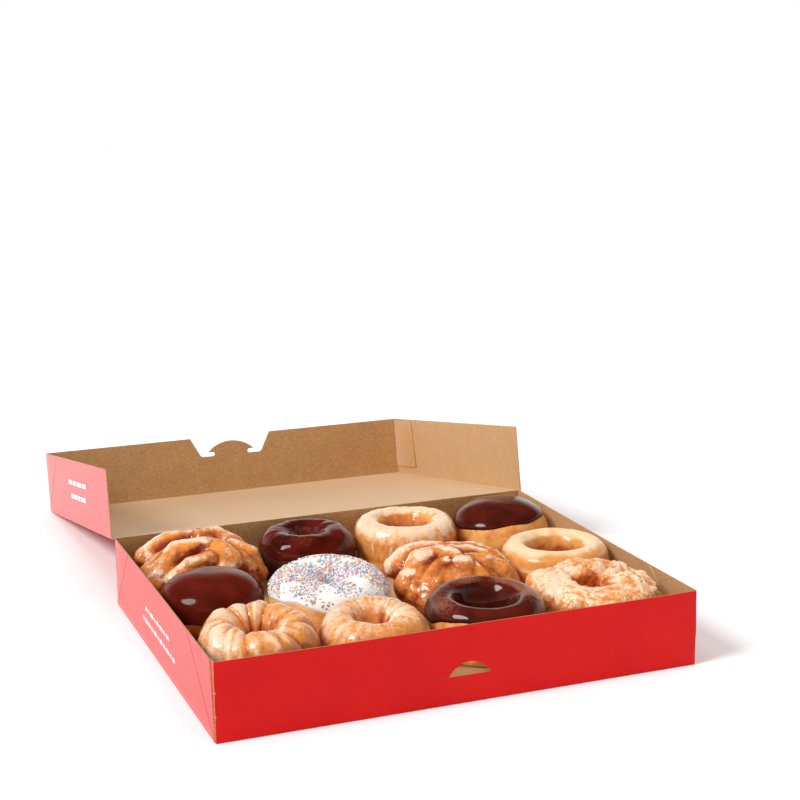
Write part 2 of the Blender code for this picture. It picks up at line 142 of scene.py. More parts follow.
class Nodes:
    """Short ways to make and join the nodes of a tree."""

    def __init__(self, tree):
        self.tree = tree

    def node(self, kind, inputs=None, **settings):
        made = self.tree.nodes.new(kind)
        for key, value in settings.items():
            setattr(made, key, value)
        for key, value in (inputs or {}).items():
            if isinstance(value, bpy.types.NodeSocket):
                self.tree.links.new(value, made.inputs[key])
            else:
                made.inputs[key].default_value = value
        return made

    def span(self, value, low, high, to_low=0.0, to_high=1.0, kind="SMOOTHSTEP"):
        inputs = {"Value": value, "From Min": low, "From Max": high, "To Min": to_low, "To Max": to_high}
        return self.node("ShaderNodeMapRange", inputs, interpolation_type=kind).outputs[0]

    def calc(self, kind, first, second, clamp=False):
        return self.node("ShaderNodeMath", {0: first, 1: second}, operation=kind, use_clamp=clamp).outputs[0]

    def blend(self, share, first, second):
        """A mix of two colours, each a socket, a linear colour of four, or three shares of 255."""
        first, second = (paint(*c) if isinstance(c, tuple) and len(c) == 3 else c for c in (first, second))
        return self.node("ShaderNodeMix", {0: share, 6: first, 7: second}, data_type="RGBA").outputs[2]


class Finish(Nodes):
    """One Principled material and its record slot. Patterns lie on the piece's own place, in metres."""

    def __init__(self, name, slot=None, **sockets):
        self.slot = slot
        self.material = bpy.data.materials.new(name)
        self.material.use_nodes = True
        super().__init__(self.material.node_tree)
        self.shader = self.tree.nodes["Principled BSDF"]
        for key, value in sockets.items():
            self.shader.inputs[key.replace("_", " ")].default_value = value
        self.place = self.node("ShaderNodeTexCoord").outputs["Object"]

    def wire(self, **sockets):
        for key, value in sockets.items():
            self.tree.links.new(value, self.shader.inputs[key.replace("_", " ")])

    def held(self, name, output="Fac"):
        """A value kept on the mesh's points."""
        return self.node("ShaderNodeAttribute", attribute_name=name).outputs[output]

    def grain(self, per_metre, detail=4, roughness=0.55, stretch=None, distortion=0):
        place = self.place
        if stretch:
            place = self.node("ShaderNodeMapping", {"Vector": place, "Scale": stretch}).outputs[0]
        settings = {"Vector": place, "Scale": per_metre, "Detail": detail, "Roughness": roughness,
                    "Distortion": distortion}
        return self.node("ShaderNodeTexNoise", settings).outputs["Fac"]

    def uneven(self, per_metre, detail=4, roughness=0.55, low=0.3, high=0.7, to=(0.0, 1.0)):
        """A grain spread out between two values."""
        return self.span(self.grain(per_metre, detail, roughness), low, high, *to)

    def relief(self, *layers):
        """Bumps laid one on another, each with its height, its depth in millimetres and its strength."""
        normal = None
        for height, depth, strength in layers:
            inputs = {"Height": height, "Distance": depth * MM, "Strength": strength}
            if normal:
                inputs["Normal"] = normal
            normal = self.node("ShaderNodeBump", inputs).outputs[0]
        return normal


def mottled_finish(name, slot, mottle, light, dark, gloss=None, pores=None, **sockets):
    """Two tones in a mottle, with an uneven gloss and fine pores where they are given."""
    made = Finish(name, slot, **sockets)
    made.wire(Base_Color=made.blend(made.uneven(*mottle), light, dark))
    if gloss:
        made.wire(Roughness=made.uneven(*gloss))
    if pores:
        grain, depth, strength = pores
        made.wire(Normal=made.relief((made.grain(*grain), depth, strength)))
    return made


# ---------------- mesh helpers


def mesh_of(name, built, finishes, smooth=True):
    """An object in metres from a shape in millimetres."""
    mesh = bpy.data.meshes.new(name)
    bmesh.ops.scale(built, vec=(MM, MM, MM), verts=built.verts)
    built.to_mesh(mesh)
    built.free()
    for finish in finishes:
        mesh.materials.append(finish.material)
    if smooth:
        mesh.shade_smooth()
    obj = bpy.data.objects.new(name, mesh)
    bpy.context.scene.collection.objects.link(obj)
    return obj


def settle_in(obj, finish, *nodes, body="tray"):
    """The piece moves with a body and stands for CAD nodes; its finish is not used."""
    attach(obj, body)
    if nodes:
        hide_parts(*nodes)


def move_points(mesh, points):
    mesh.vertices.foreach_set("co", np.ascontiguousarray(points * MM, dtype=np.float32).ravel())
    mesh.update()


def hold(mesh, name, values, most=1.0):
    """Keeps a value on the mesh's points, for its finish to read."""
    layer = mesh.attributes.new(name, "FLOAT", "POINT")
    layer.data.foreach_set("value", np.ascontiguousarray(np.clip(values, 0, most), dtype=np.float32))


def block(built, low, high):
    low, high = Vector(low), Vector(high)
    place = Matrix.Translation((low + high) / 2) @ Matrix.Diagonal((*(high - low), 1))
    bmesh.ops.create_cube(built, size=1, matrix=place)


def rounded(built, edges, radius, segments):
    bmesh.ops.bevel(
        built, geom=edges, offset=radius, segments=segments, profile=0.5, affect="EDGES", material=-1,
        clamp_overlap=True
    )


def only(parts, kind):
    return [part for part in parts if isinstance(part, kind)]


def baked(obj):
    """Modifiers applied, so the piece is plain mesh, with its folds and cut edges crisp."""
    depsgraph = bpy.context.evaluated_depsgraph_get()
    made = bpy.data.meshes.new_from_object(obj.evaluated_get(depsgraph))
    obj.modifiers.clear()
    made.set_sharp_from_angle(angle=CRISP)
    obj.data = made
    return obj


def boarded(obj, thickness, even=True):
    """Gives a sheet its thickness: kraft behind it, and cut board along its edges."""
    board = obj.modifiers.new("board", "SOLIDIFY")
    board.thickness, board.offset, board.use_even_offset = thickness * MM, -1, even
    board.material_offset, board.material_offset_rim = INSIDE, CUT_EDGE
    return baked(obj)


# ---------------- board finishes


def kraft_finish():
    """Bare recycled board: fine speckle, darker fibres and a slow mottle."""
    dark = (174, 127, 76)
    kraft = Finish("kraft_board", "kraft_board", Roughness=0.5, Specular_IOR_Level=0.8, Sheen_Weight=1.0,
                   Sheen_Roughness=0.42, Sheen_Tint=(1.0, 0.82, 0.62, 1))
    speckled = kraft.blend(kraft.uneven(620, 4, 0.75, 0.36, 0.66), (204, 157, 100), dark)
    mottle = kraft.calc("MULTIPLY", kraft.uneven(70, 4, 0.6), 0.2)
    soft = kraft.blend(mottle, speckled, paint(*dark, shade=0.86))
    fibres = kraft.span(kraft.grain(760, 3, 0.7, stretch=(1, 0.7, 0.8)), 0.58, 0.70)
    kraft.wire(
        Base_Color=kraft.blend(kraft.calc("MULTIPLY", fibres, 0.5), soft, paint(*dark, shade=0.6)),
        Normal=kraft.relief((kraft.grain(900, 4, 0.7), 0.05, 0.6)),
    )
    return kraft


def red_finish():
    """Coated red print: a soft gloss, faint mottle, and pale rubs on the tray's corner folds."""
    red = Finish("red_print", "red_and_kraft_board", Roughness=0.25, Specular_IOR_Level=0.14,
                 Sheen_Weight=0.45, Sheen_Roughness=0.3, Sheen_Tint=(0.90, 0.79, 0.77, 1))
    place = red.node("ShaderNodeSeparateXYZ", {0: red.place})
    across, along = (red.calc("ABSOLUTE", place.outputs[axis], 0) for axis in (0, 1))
    at_side, at_end = (
        red.span(value, (edge - 1.6) * MM, (edge - 0.2) * MM)
        for value, edge in ((across, HALF_X), (along, HALF_Y))
    )
    on_tray = red.span(along, (HALF_Y + 0.3) * MM, (HALF_Y + 0.6) * MM, 1.0, 0.0)
    corner = red.calc("MULTIPLY", red.calc("MULTIPLY", at_side, at_end), on_tray)
    rub = red.calc("MULTIPLY", corner, red.uneven(95, 5, 0.75, 0.62, 0.70))
    for level in (20, 37):
        middle = Vector((-HALF_X + 0.6, -HALF_Y, level)) * MM
        away = red.node("ShaderNodeVectorMath", {0: red.place, 1: middle}, operation="DISTANCE")
        frayed = red.calc("ADD", away.outputs["Value"], red.uneven(900, 3, 0.7, to=(0, 1.0 * MM)))
        rub = red.calc("MAXIMUM", rub, red.span(frayed, 1.0 * MM, 1.5 * MM, 1.0, 0.0))
    base = red.blend(red.uneven(14, 3, 0.5), (200, 9, 10), (210, 15, 16))
    red.wire(
        Base_Color=red.blend(rub, base, (248, 178, 170)),
        Roughness=red.uneven(260, 3, 0.6, 0.2, 0.8, (0.20, 0.28)),
        Normal=red.relief((red.grain(700, 3, 0.6), 0.02, 0.5), (red.grain(22, 2, 0.5), 0.5, 0.25)),
    )
    return red


KRAFT = kraft_finish()
RED = red_finish()
CUT = mottled_finish(
    "cut_board", None, (900, 3, 0.7), (206, 160, 112), (150, 100, 60), pores=((1200, 3, 0.7), 0.08, 0.8),
    Roughness=0.85
)
PLIES = (RED, KRAFT, CUT)
PRINT = mottled_finish(
    "pale_print", RED.slot, (500, 4, 0.7, 0.35, 0.7), (247, 232, 226), (244, 206, 200), Roughness=0.4,
    Coat_Weight=0.2
)


# ---------------- carton


def wall_line(start, end):
    """A line up a side wall between two (y, z) points: its start, run, cross direction and length."""
    origin, run = Vector((0, *start)), Vector((0, end[0] - start[0], end[1] - start[1]))
    length = run.length
    run.normalize()
    return origin, run, Vector((0, -run.z, run.y)), length


def cut_wall(built, side, point, normal):
    """Adds a line of edges where a plane meets a side wall."""
    faces = [face for face in built.faces if face.normal.x * side > SQUARE_ON]
    edges = dict.fromkeys(edge for face in faces for edge in face.edges)
    corners = dict.fromkeys(corner for face in faces for corner in face.verts)
    region = [*faces, *edges, *corners]
    bmesh.ops.bisect_plane(built, geom=region, dist=ON_PLANE, plane_co=point, plane_no=normal)


def creased(built, side, start, end, depth):
    """A pressed fold line on a side wall, from one (y, z) point to another."""
    origin, run, across, length = wall_line(start, end)
    for offset in (-0.55, 0, 0.55):
        cut_wall(built, side, origin + across * offset, across)
    for vertex in built.verts:
        off = vertex.co - origin
        on_line = abs(off.dot(across)) < 2 * ON_PLANE and -1 < off.dot(run) < length + 1
        if on_line and vertex.co.x * side > 0.9 * HALF_X:
            vertex.co.x -= side * depth


def lapped(built, foot, top, depth):
    """The left wall's cut front edge, lying over the corner flap, between two (y, z) points."""
    origin, _, across, _ = wall_line(foot, top)
    for offset in (0, 0.1):
        cut_wall(built, -1, origin + across * offset, across)
    for vertex in built.verts:
        beside = (vertex.co - origin).dot(across)
        if vertex.co.x < -HALF_X + 0.1 and beside > 0.05 and vertex.co.z > 0.5:
            vertex.co.x += depth
    built.normal_update()
    for face in built.faces:
        on_edge = face.calc_center_median().x < -HALF_X + depth and abs(face.normal.y) > 0.6
        if on_edge and face.calc_area() < 10:
            face.material_index = CUT_EDGE


def carton_shell(name, low, high, open_sides, details):
    """A folded board box: red outside, kraft inside, cut board along its edges."""
    built = bmesh.new()
    block(built, low, high)
    built.normal_update()
    missing = [f for f in built.faces if any(f.normal.dot(Vector(side)) > SQUARE_ON for side in open_sides)]
    bmesh.ops.delete(built, geom=missing, context="FACES")
    rounded(built, [edge for edge in built.edges if len(edge.link_faces) == 2], 1.2, 4)
    for axis, steps in enumerate((16, 14, 6)):
        for step in range(1, steps):
            bmesh.ops.bisect_plane(
                built, geom=built.verts[:] + built.edges[:] + built.faces[:], dist=ON_PLANE,
                plane_co=Vector(low).lerp(Vector(high), step / steps), plane_no=Matrix.Identity(3)[axis]
            )
    built.normal_update()
    details(built)
    return boarded(mesh_of(name, built, PLIES), BOARD)


def arc(centre, radius, start, end, steps):
    turns = [math.radians(start + (end - start) * step / steps) for step in range(steps + 1)]
    return [(centre[0] + radius * math.cos(t), centre[1] + radius * math.sin(t)) for t in turns]


def dome(middle, foot, half, rise, steps):
    """A shallow arc over a foot line, from its right end to its left."""
    radius = (half * half + rise * rise) / (2 * rise)
    spread = math.degrees(math.asin(half / radius))
    return arc((middle, foot + rise - radius), radius, 90 - spread, 90 + spread, steps)


def punched(obj, outline, wall, reach):
    """Cuts an outline of (x, z) points through a front wall, leaving raw edges."""
    built = bmesh.new()
    face = built.faces.new([built.verts.new((x, wall - reach, z)) for x, z in outline])
    grown = bmesh.ops.extrude_face_region(built, geom=[face])["geom"]
    bmesh.ops.translate(built, vec=(0, 2 * reach, 0), verts=only(grown, bmesh.types.BMVert))
    bmesh.ops.recalc_face_normals(built, faces=built.faces)
    for face in built.faces:
        face.material_index = CUT_EDGE
    tool = mesh_of("punch", built, PLIES, smooth=False)
    cut = obj.modifiers.new("cut", "BOOLEAN")
    cut.operation, cut.object, cut.solver = "DIFFERENCE", tool, "EXACT"
    baked(obj)
    bpy.data.objects.remove(tool)


def half_moon():
    """The half-moon slot, with a slit running down and out from each of its ends."""
    middle, half, base, slit = 1, 16.25, 22, 0.3
    left_x, left_z = middle - half - 12.5, base - 2.8
    right_x, right_z = middle + half + 7, base - 1.1
    foot = [(middle + side * (half - 2 * slit), base - slit) for side in (-1, 1)]
    line = dome(middle, base, half, 9.8, 24) + [(left_x, left_z + slit), (left_x, left_z)]
    return line + foot + [(right_x, right_z), (right_x, right_z + slit)]


def notch_line():
    """The lid's notch: slanted sides, rounded feet, and a mushroom tab left in it."""
    middle, above = 3, LID_WALL + 5
    floor, tip, top, half, neck, foot = 38.5, 43, 53.4, 25, 18, 32.5
    bend = (tip - floor) / 2
    slant = 11 / 20.5
    outer = foot + slant * (above - floor)
    right = [(half, tip)] + arc((neck + bend, floor + bend), bend, 90, 270, 10)
    right += [(foot + x, floor + z) for x, z in ((-2.2, 0), (-0.6, 0.3), (0.6, 1.1), (1.6, 2.4))]
    right.append((outer, above))
    left = [(-x, z) for x, z in reversed(right)]
    return [(x + middle, z) for x, z in left + dome(0, tip, half, top - tip, 28)[-2:0:-1] + right]


def tray_details(built):
    """Pressed folds, a slightly bowed front, a bulge at the right corner, and sides drawn in."""
    front, back = -HALF_Y, HALF_Y
    lapped(built, (front + 1.4, 0), (front + 9, RIM), BOARD)
    for side in (-1, 1):
        creased(built, side, (front + 1, 1), (front + 71, RIM), 0.35)
        creased(built, side, (back - 1, 1), (back - 52, RIM), 0.35)
    for vertex in built.verts:
        x, y, z = vertex.co
        level = max(0, z / RIM)
        if y < front + WALL_SKIN:
            lean = math.sin(math.pi * min(1, level))
            vertex.co.y -= 0.5 * lean * math.cos(math.pi * x / (2 * HALF_X)) ** 2
            vertex.co.z += 1.25 * math.sin(0.031 * x + 1) * max(0, level - 0.8)
        if x > HALF_X - WALL_SKIN and y < front + 60:
            vertex.co.x += 0.5 * bell(z, 30, 9)
        if abs(x) > HALF_X - WALL_SKIN:
            vertex.co.x -= math.copysign(0.5, x) * level ** 2 * math.cos(math.pi * y / (2 * HALF_Y)) ** 2


def folded_edge(obj, at_hinge):
    """The board runs on through the hinge, so no cut edge shows there."""
    for face in obj.data.polygons:
        if face.material_index == CUT_EDGE and at_hinge(face.center / MM):
            face.material_index = INSIDE


def make_tray():
    tray = carton_shell("tray_board", (-HALF_X, -HALF_Y, 0), (HALF_X, HALF_Y, RIM), [(0, 0, 1)], tray_details)
    punched(tray, half_moon(), -HALF_Y, 5)
    folded_edge(tray, lambda middle: middle.y > HALF_Y - 2)
    settle_in(tray, RED, "tray")


def lid_pose():
    """The lid's own frame (flat, origin on the hinge) laid back behind the tray."""
    outer = HINGE_DROP + BOARD
    drop = math.asin((RIM - 0.2) / math.hypot(LID_REACH, outer)) - math.atan2(outer, LID_REACH)
    return Matrix.Translation(HINGE) @ Matrix.Rotation(-drop, 4, "X")


def lid_details(built):
    """A pressed fold on each side wall, and the walls drawn in a little at half their length."""
    for side in (-1, 1):
        creased(built, side, (LID_REACH - 1, 1), (LID_REACH - 66, LID_WALL), 0.3)
    for vertex in built.verts:
        x, y, z = vertex.co
        if abs(x) > LID_HALF - WALL_SKIN:
            drawn_in = 0.5 * max(0, z / LID_WALL) * math.sin(math.pi * y / LID_REACH) ** 2
            vertex.co.x -= math.copysign(drawn_in, x)


def glue_flap(name, side):
    """The lid's glued corner flap: a second ply of board inside the side wall."""
    built = bmesh.new()
    wall, thick = LID_HALF - BOARD - 0.1, 0.9
    block(built, (wall - thick, LID_REACH - 57, 8 - HINGE_DROP), (wall, LID_REACH - 1, LID_WALL - 2))
    for vertex in built.verts:
        if vertex.co.y < LID_REACH - 50 and vertex.co.z > LID_WALL / 2:
            vertex.co.y += 6
    rounded(built, built.edges[:], 0.2, 2)
    if side < 0:
        bmesh.ops.scale(built, vec=(-1, 1, 1), verts=built.verts)
    bmesh.ops.recalc_face_normals(built, faces=built.faces)
    for face in built.faces:
        face.material_index = 0 if abs(face.normal.x) > SQUARE_ON else 1
    flap = mesh_of(name, built, (KRAFT, CUT))
    flap.data.set_sharp_from_angle(angle=CRISP)
    flap.data.transform(lid_pose())
    settle_in(flap, KRAFT, body="lid")


def make_lid():
    low, high = (-LID_HALF, 0.3, -HINGE_DROP - BOARD), (LID_HALF, LID_REACH, LID_WALL)
    lid = carton_shell("lid_board", low, high, [(0, 0, 1), (0, -1, 0)], lid_details)
    punched(lid, notch_line(), LID_REACH, 6)
    folded_edge(lid, lambda middle: middle.y < 1 and middle.z < 3)
    lid.data.transform(lid_pose())
    glue_flap("lid_flap_left", -1)
    glue_flap("lid_flap_right", 1)
    settle_in(lid, RED, "lid", body="lid")


def hinge_fold():
    """The strip of board outside the fold, between the tray's back wall and the lid."""
    built = bmesh.new()
    radius, half, bend = 1.4, HALF_X - 2, math.radians(28)
    bmesh.ops.create_grid(built, x_segments=24, y_segments=12, size=1)
    for vertex in built.verts:
        turn = bend * (vertex.co.y + 1) / 2
        vertex.co = half * vertex.co.x, radius * math.sin(turn), -radius * math.cos(turn)
    bmesh.ops.reverse_faces(built, faces=built.faces)
    fold = boarded(mesh_of("hinge_fold", built, PLIES), 0.3, even=False)
    fold.data.transform(Matrix.Translation(HINGE))
    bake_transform(fold)


def print_bars(name, body, rows, height, pose):
    """Plain pale bars in lines, where the carton's side carries print: y, z, slope and lengths."""
    built, thick = bmesh.new(), 0.12
    for y, z, slope, lengths in rows:
        along = 0.0
        for length in lengths:
            middle = Vector((0, y, z)) + Vector((0, 1, slope)) * (along + length / 2)
            tilt = Matrix.Rotation(math.atan(slope), 4, "X")
            size = Matrix.Diagonal((thick, length, height, 1))
            bmesh.ops.create_cube(built, size=1, matrix=Matrix.Translation(middle) @ tilt @ size)
            along += length + 0.75 * height
    corners = [edge for edge in built.edges if abs((edge.verts[0].co - edge.verts[1].co).x) > thick / 2]
    rounded(built, corners, 0.9, 3)
    bars = mesh_of(name, built, (PRINT,), smooth=False)
    bars.data.transform(pose)
    settle_in(bars, PRINT, body=body)


def make_print():
    proud = 0.02
    rows = [(127 - HALF_Y, 33, 0, (10, 5, 11, 8, 4, 11, 5, 6)),
            (111 - HALF_Y, 20.5, 0.02, (8, 4, 11, 6, 9, 3, 11, 8, 5, 9, 4))]
    print_bars("tray_print", "tray", rows, 3.4, Matrix.Translation((-(HALF_X + proud) * MM, 0, 0)))
    rows = [(103, 37.5, 0, (19, 24, 17, 19)), (108, 24.5, 0, (25, 14, 29))]
    outside = lid_pose() @ Matrix.Translation((-(LID_HALF + proud) * MM, 0, 0))
    print_bars("lid_print", "lid", rows, 4.6, outside)


def make_carton():
    make_tray()
    make_lid()
    hinge_fold()
    make_print()
    pad = frame["nodes"]["pad"]
    pad.data.materials.clear()
    pad.data.materials.append(KRAFT.material)


# ---------------- doughnut finishes

DOUGH = {"Subsurface_Scale": 0.004, "Subsurface_Radius": (1.0, 0.45, 0.2)}


def glazed_finish(
    name, slot, light, deep, veil, wet, cover, mottled, pores=0.5, marbled=1.6, streak=0.26, dents=0.5
):
    """Fried crust under sugar glaze, led by what the mesh holds: toast with painted shade, and glaze with
    painted sheen.
    """
    crust = Finish(name, slot, Specular_IOR_Level=0.3, Coat_Weight=wet, Coat_Roughness=0.08, Coat_IOR=1.45,
                   Subsurface_Weight=0.10, **DOUGH)
    patches = crust.grain(130, 5, 0.62, distortion=0.6)
    broad = crust.span(patches, 0.25, 0.75, -0.24 * mottled, 0.24 * mottled)
    mottle = crust.calc("ADD", broad, crust.uneven(330, 3, 0.6, to=(-0.16 * mottled, 0.16 * mottled)))
    # the held toast darkens the crust: fried colour, plus painted shade in folds, hollows and on sides away
    # from the light
    toast = crust.calc("ADD", crust.held("toast"), mottle, clamp=True)
    spots = crust.uneven(560, 4, 0.65, 0.56, 0.72, (0, 0.3))
    base = crust.blend(spots, crust.blend(toast, light, deep), paint(*deep, shade=0.88))
    streaks = crust.span(crust.grain(340, 5, 0.65, distortion=marbled), 0.3, 0.7, -streak, streak)
    # the held glaze lays on the pale veil: sugar glaze, plus painted sheen and painted highlights
    sheer = crust.span(crust.calc("ADD", crust.held("glaze"), streaks), 0.12, 1.02, 0.0, cover + 0.06)
    crust.wire(
        Base_Color=crust.blend(sheer, base, veil),
        Roughness=crust.span(sheer, 0, 0.8, 0.5, 0.32),
        Normal=crust.relief((crust.grain(900, 3, 0.6), 0.12, pores), (patches, 1.4 * dents, dents)),
    )
    return crust


def golden_finish():
    crust = Finish("golden_crust", "golden_dough", Roughness=0.5, Specular_IOR_Level=0.45, Coat_Weight=0.15,
                   Coat_Roughness=0.3, Subsurface_Weight=0.12, **DOUGH)
    patches = crust.grain(90, 5, 0.6, distortion=0.4)
    toast = crust.calc("ADD", crust.held("toast"), crust.span(patches, 0.25, 0.75, -0.32, 0.32), clamp=True)
    base = crust.blend(toast, (254, 192, 108), (194, 88, 28))
    crust.wire(
        Base_Color=crust.blend(crust.uneven(420, 5, 0.75, 0.52, 0.70, (0, 0.5)), base, (206, 108, 44)),
        Normal=crust.relief((crust.grain(1000, 4, 0.65), 0.12, 0.6), (patches, 0.6, 0.5)),
    )
    return crust


def chocolate_finish(name, thin, thick, gloss, shine):
    """Set chocolate icing: dark, wet-looking, with faint waves, and a pale painted sheen where the mesh holds
    one.
    """
    icing = Finish(name, "chocolate_icing", Specular_IOR_Level=shine)
    dark = icing.blend(icing.uneven(45, 3, 0.5), thick, thin)
    # the pale brown film is painted sheen: it stands in for the reflection of the bright surroundings
    sheen_film = icing.calc("ADD", icing.held("bloom"), icing.uneven(480, 4, 0.7, to=(-0.25, 0.25)))
    icing.wire(
        Base_Color=icing.blend(icing.span(sheen_film, 0.25, 1.0, 0, 0.7), dark, (156, 98, 78)),
        Roughness=icing.uneven(130, 3, 0.6, to=(gloss, gloss + 0.07)),
        Normal=icing.relief((icing.grain(60, 2, 0.4), 0.4, 0.3), (icing.grain(420, 3, 0.6), 0.01, 0.3)),
    )
    return icing


def maple_finish():
    icing = Finish("maple_glaze", "maple_icing", Specular_IOR_Level=0.35, Coat_Weight=0.3,
                   Coat_Roughness=0.12, Subsurface_Weight=0.15, Subsurface_Scale=0.004,
                   Subsurface_Radius=(1.0, 0.5, 0.25))
    toast = icing.calc("ADD", icing.held("toast"), icing.uneven(110, 4, 0.6, to=(-0.15, 0.15)), clamp=True)
    pale = icing.calc("ADD", icing.held("glaze"), icing.uneven(160, 3, to=(-0.12, 0.12)))
    base = icing.blend(toast, (228, 158, 82), (168, 72, 26))
    icing.wire(
        Base_Color=icing.blend(icing.span(pale, 0.1, 0.95), base, (245, 208, 166)),
        Roughness=icing.uneven(300, 3, to=(0.26, 0.4)),
        Normal=icing.relief((icing.grain(240, 4, 0.6), 0.15, 0.4)),
    )
    return icing


def sprinkle_finish():
    sugar = Finish("sprinkle_sugar", "white_icing", Specular_IOR_Level=0.4, Subsurface_Weight=0.1,
                   Subsurface_Scale=0.001)
    faded = sugar.uneven(1500, 2, to=(0.0, 0.25))
    sugar.wire(
        Base_Color=sugar.blend(faded, sugar.held("tint", "Color"), (250, 244, 240)),
        Roughness=sugar.uneven(2500, 2, to=(0.4, 0.6)),
    )
    return sugar


def dark_cake_finish():
    cake = Finish("dark_cake", "chocolate_dough", Specular_IOR_Level=0.35, Roughness=0.7)
    crumb = cake.grain(420, 5, 0.7)
    cells = cake.node("ShaderNodeTexVoronoi", {"Vector": cake.place, "Scale": 260}).outputs["Distance"]
    cake.wire(
        Base_Color=cake.blend(cake.span(crumb, 0.35, 0.68), (44, 16, 10), (98, 42, 26)),
        Roughness=cake.span(crumb, 0.3, 0.7, 0.45, 0.8),
        Normal=cake.relief((cells, 0.6, 0.5), (crumb, 0.5, 0.8)),
    )
    return cake


GLAZED = glazed_finish(
    "glazed_crust", "glazed_dough", (244, 168, 86), (178, 72, 20), (250, 222, 192), 1.0, 0.76, 0.75
)
FRITTER = glazed_finish(
    "fritter_crust", "glazed_dough", (240, 148, 62), (138, 44, 12), (250, 220, 192), 0.95, 0.85, 0.6,
    marbled=0.8, dents=0.8
)
CRAGGY = glazed_finish(
    "craggy_crust", "craggy_dough", (240, 162, 84), (190, 90, 34), (246, 218, 186), 0.4, 0.84, 1.0,
    pores=0.9, marbled=0.5, streak=0.4
)
GOLDEN = golden_finish()
CHOCOLATE = chocolate_finish("chocolate_icing", (92, 29, 18), (60, 19, 12), 0.06, 0.24)
SATIN = chocolate_finish("satin_icing", (102, 29, 18), (80, 21, 13), 0.09, 0.13)
CAKE_ICING = chocolate_finish("cake_icing", (98, 24, 14), (58, 13, 8), 0.07, 0.2)
MAPLE = maple_finish()
WHITE = mottled_finish(
    "white_icing", "white_icing", (80, 4, 0.6), (248, 246, 241), (237, 234, 229),
    gloss=(300, 3, 0.55, 0.3, 0.7, (0.3, 0.45)), pores=((160, 4, 0.6), 0.3, 0.4), Specular_IOR_Level=0.45,
    Coat_Weight=0.25, Coat_Roughness=0.2, Subsurface_Weight=0.2, Subsurface_Scale=0.003
)
SUGAR = sprinkle_finish()
DARK_CAKE = dark_cake_finish()


# ---------------- doughnut shapes


def standing(from_left, from_front, top, tilt=0):
    """Pose and full height of a doughnut on the raised board, measured from the tray's front left corner."""
    height = top - REST + SETTLED
    pose = Matrix.Translation((from_left - HALF_X, from_front - HALF_Y, top - height / 2))
    return pose @ Matrix.Rotation(math.radians(tilt), 4, "X"), height


def placed(points, pose):
    """Posed, and pressed softly flat where it meets the raised board."""
    moved = points @ np.array(pose.to_3x3()).T + np.array(pose.translation)
    low, soft = moved[..., 2] - REST, 1.5
    moved[..., 2] = REST + np.where(low > soft, low, soft * np.exp(np.minimum(low / soft - 1, 0)))
    return moved


def plain_skin(u, v, middle, half_width, half_height, power):
    """Points and outward directions of a turned section, square-shouldered as power passes 2."""
    side, top = (np.sign(c) * np.abs(c) ** (2 / power) for c in (np.cos(v), np.sin(v)))
    lean_side = np.sign(side) * np.abs(side) ** (power - 1) / half_width
    lean_top = np.sign(top) * np.abs(top) ** (power - 1) / half_height
    radius = middle + half_width * side
    points = np.stack((radius * np.cos(u), radius * np.sin(u), half_height * top), axis=-1)
    out = np.stack((lean_side * np.cos(u), lean_side * np.sin(u), lean_top), axis=-1)
    return points, out / np.linalg.norm(out, axis=-1, keepdims=True)


class Ring:
    """A ring doughnut's skin, kept in rows: [step round the ring, step round its section].

    u is the angle round the ring, v the angle round its section, and share how far out a
    point lies over the top: 0 at the hole, 0.5 on top, 1 at the rim.
    """

    def __init__(self, around, across, stand, outer, hole, power):
        self.built, plain = bmesh.new(), 3
        bmesh.ops.create_grid(self.built, x_segments=around, y_segments=across, size=1)
        for vertex in self.built.verts:
            u, v = (vertex.co.x + 1) * math.pi, (vertex.co.y + 1) * math.pi
            radius = plain + math.cos(v)
            vertex.co = radius * math.cos(u), radius * math.sin(u), math.sin(v)
        bmesh.ops.remove_doubles(self.built, verts=self.built.verts, dist=0.0001)
        bmesh.ops.recalc_face_normals(self.built, faces=self.built.faces)
        x, y, z = np.array([vertex.co for vertex in self.built.verts]).T
        row = np.rint(np.arctan2(y, x) / math.tau * around).astype(int) % around
        column = np.rint(np.arctan2(z, np.hypot(x, y) - plain) / math.tau * across).astype(int) % across
        self.in_rows = row * across + column
        turns = (np.arange(steps) * math.tau / steps for steps in (around, across))
        self.u, self.v = np.meshgrid(*turns, indexing="ij")
        self.share = 0.5 - turned(self.v, 90) / 180
        self.pose, height = stand
        self.points, self.out = plain_skin(
            self.u, self.v, (outer + hole) / 2, (outer - hole) / 2, height / 2, power
        )
        self.rise, self.facing = self.points[..., 2], self.out[..., 2]
        self.radius = np.hypot(self.points[..., 0], self.points[..., 1])

    def noise(self, size, layers, seed):
        return rough(self.points, size, layers, seed)

    def near(self, angle, width):
        return bump(self.u, angle, width)

    def beside(self, angle, width, low, high):
        """Near an angle round the ring, and past a share of the way out."""
        return self.near(angle, width) * ease(self.share, low, high)

    def skin(self, relief):
        return self.points + self.out * relief[..., None]

    def piece(self, name, finish, relief, kind="_crust", most=1.0, **held):
        """The skin with its relief, placed, and standing for the CAD node of its name."""
        obj = mesh_of(name + kind, self.built, (finish,))
        move_points(obj.data, placed(self.skin(relief), self.pose).reshape(-1, 3)[self.in_rows])
        for key, values in held.items():
            hold(obj.data, key, values.ravel()[self.in_rows], most)
        settle_in(obj, finish, name)


def blurred(field, round_steps, section_steps):
    """A ring's field, averaged over its neighbours."""
    for axis, steps in ((0, round_steps), (1, section_steps)):
        for _ in range(steps):
            field = (np.roll(field, 1, axis) + field * 2 + np.roll(field, -1, axis)) / 4
    return field


def iced_edge(distance, thickness):
    """Height of an icing over the crust, from its distance inside the icing's edge."""
    lip = np.clip(distance / (1.3 * thickness), 0, 1)
    return np.where(distance > 0, thickness * np.sqrt(1 - (1 - lip) ** 2), np.maximum(distance, -0.9))


# ---------------- ring doughnuts


def drawn(ring, angle, size, stretch, seed):
    """Noise drawn out in lines that run from the hole to the rim."""
    points = np.stack((40 * np.cos(angle), 40 * np.sin(angle), 60 * ring.share / stretch), axis=-1)
    return rough(points, size, 3, seed)


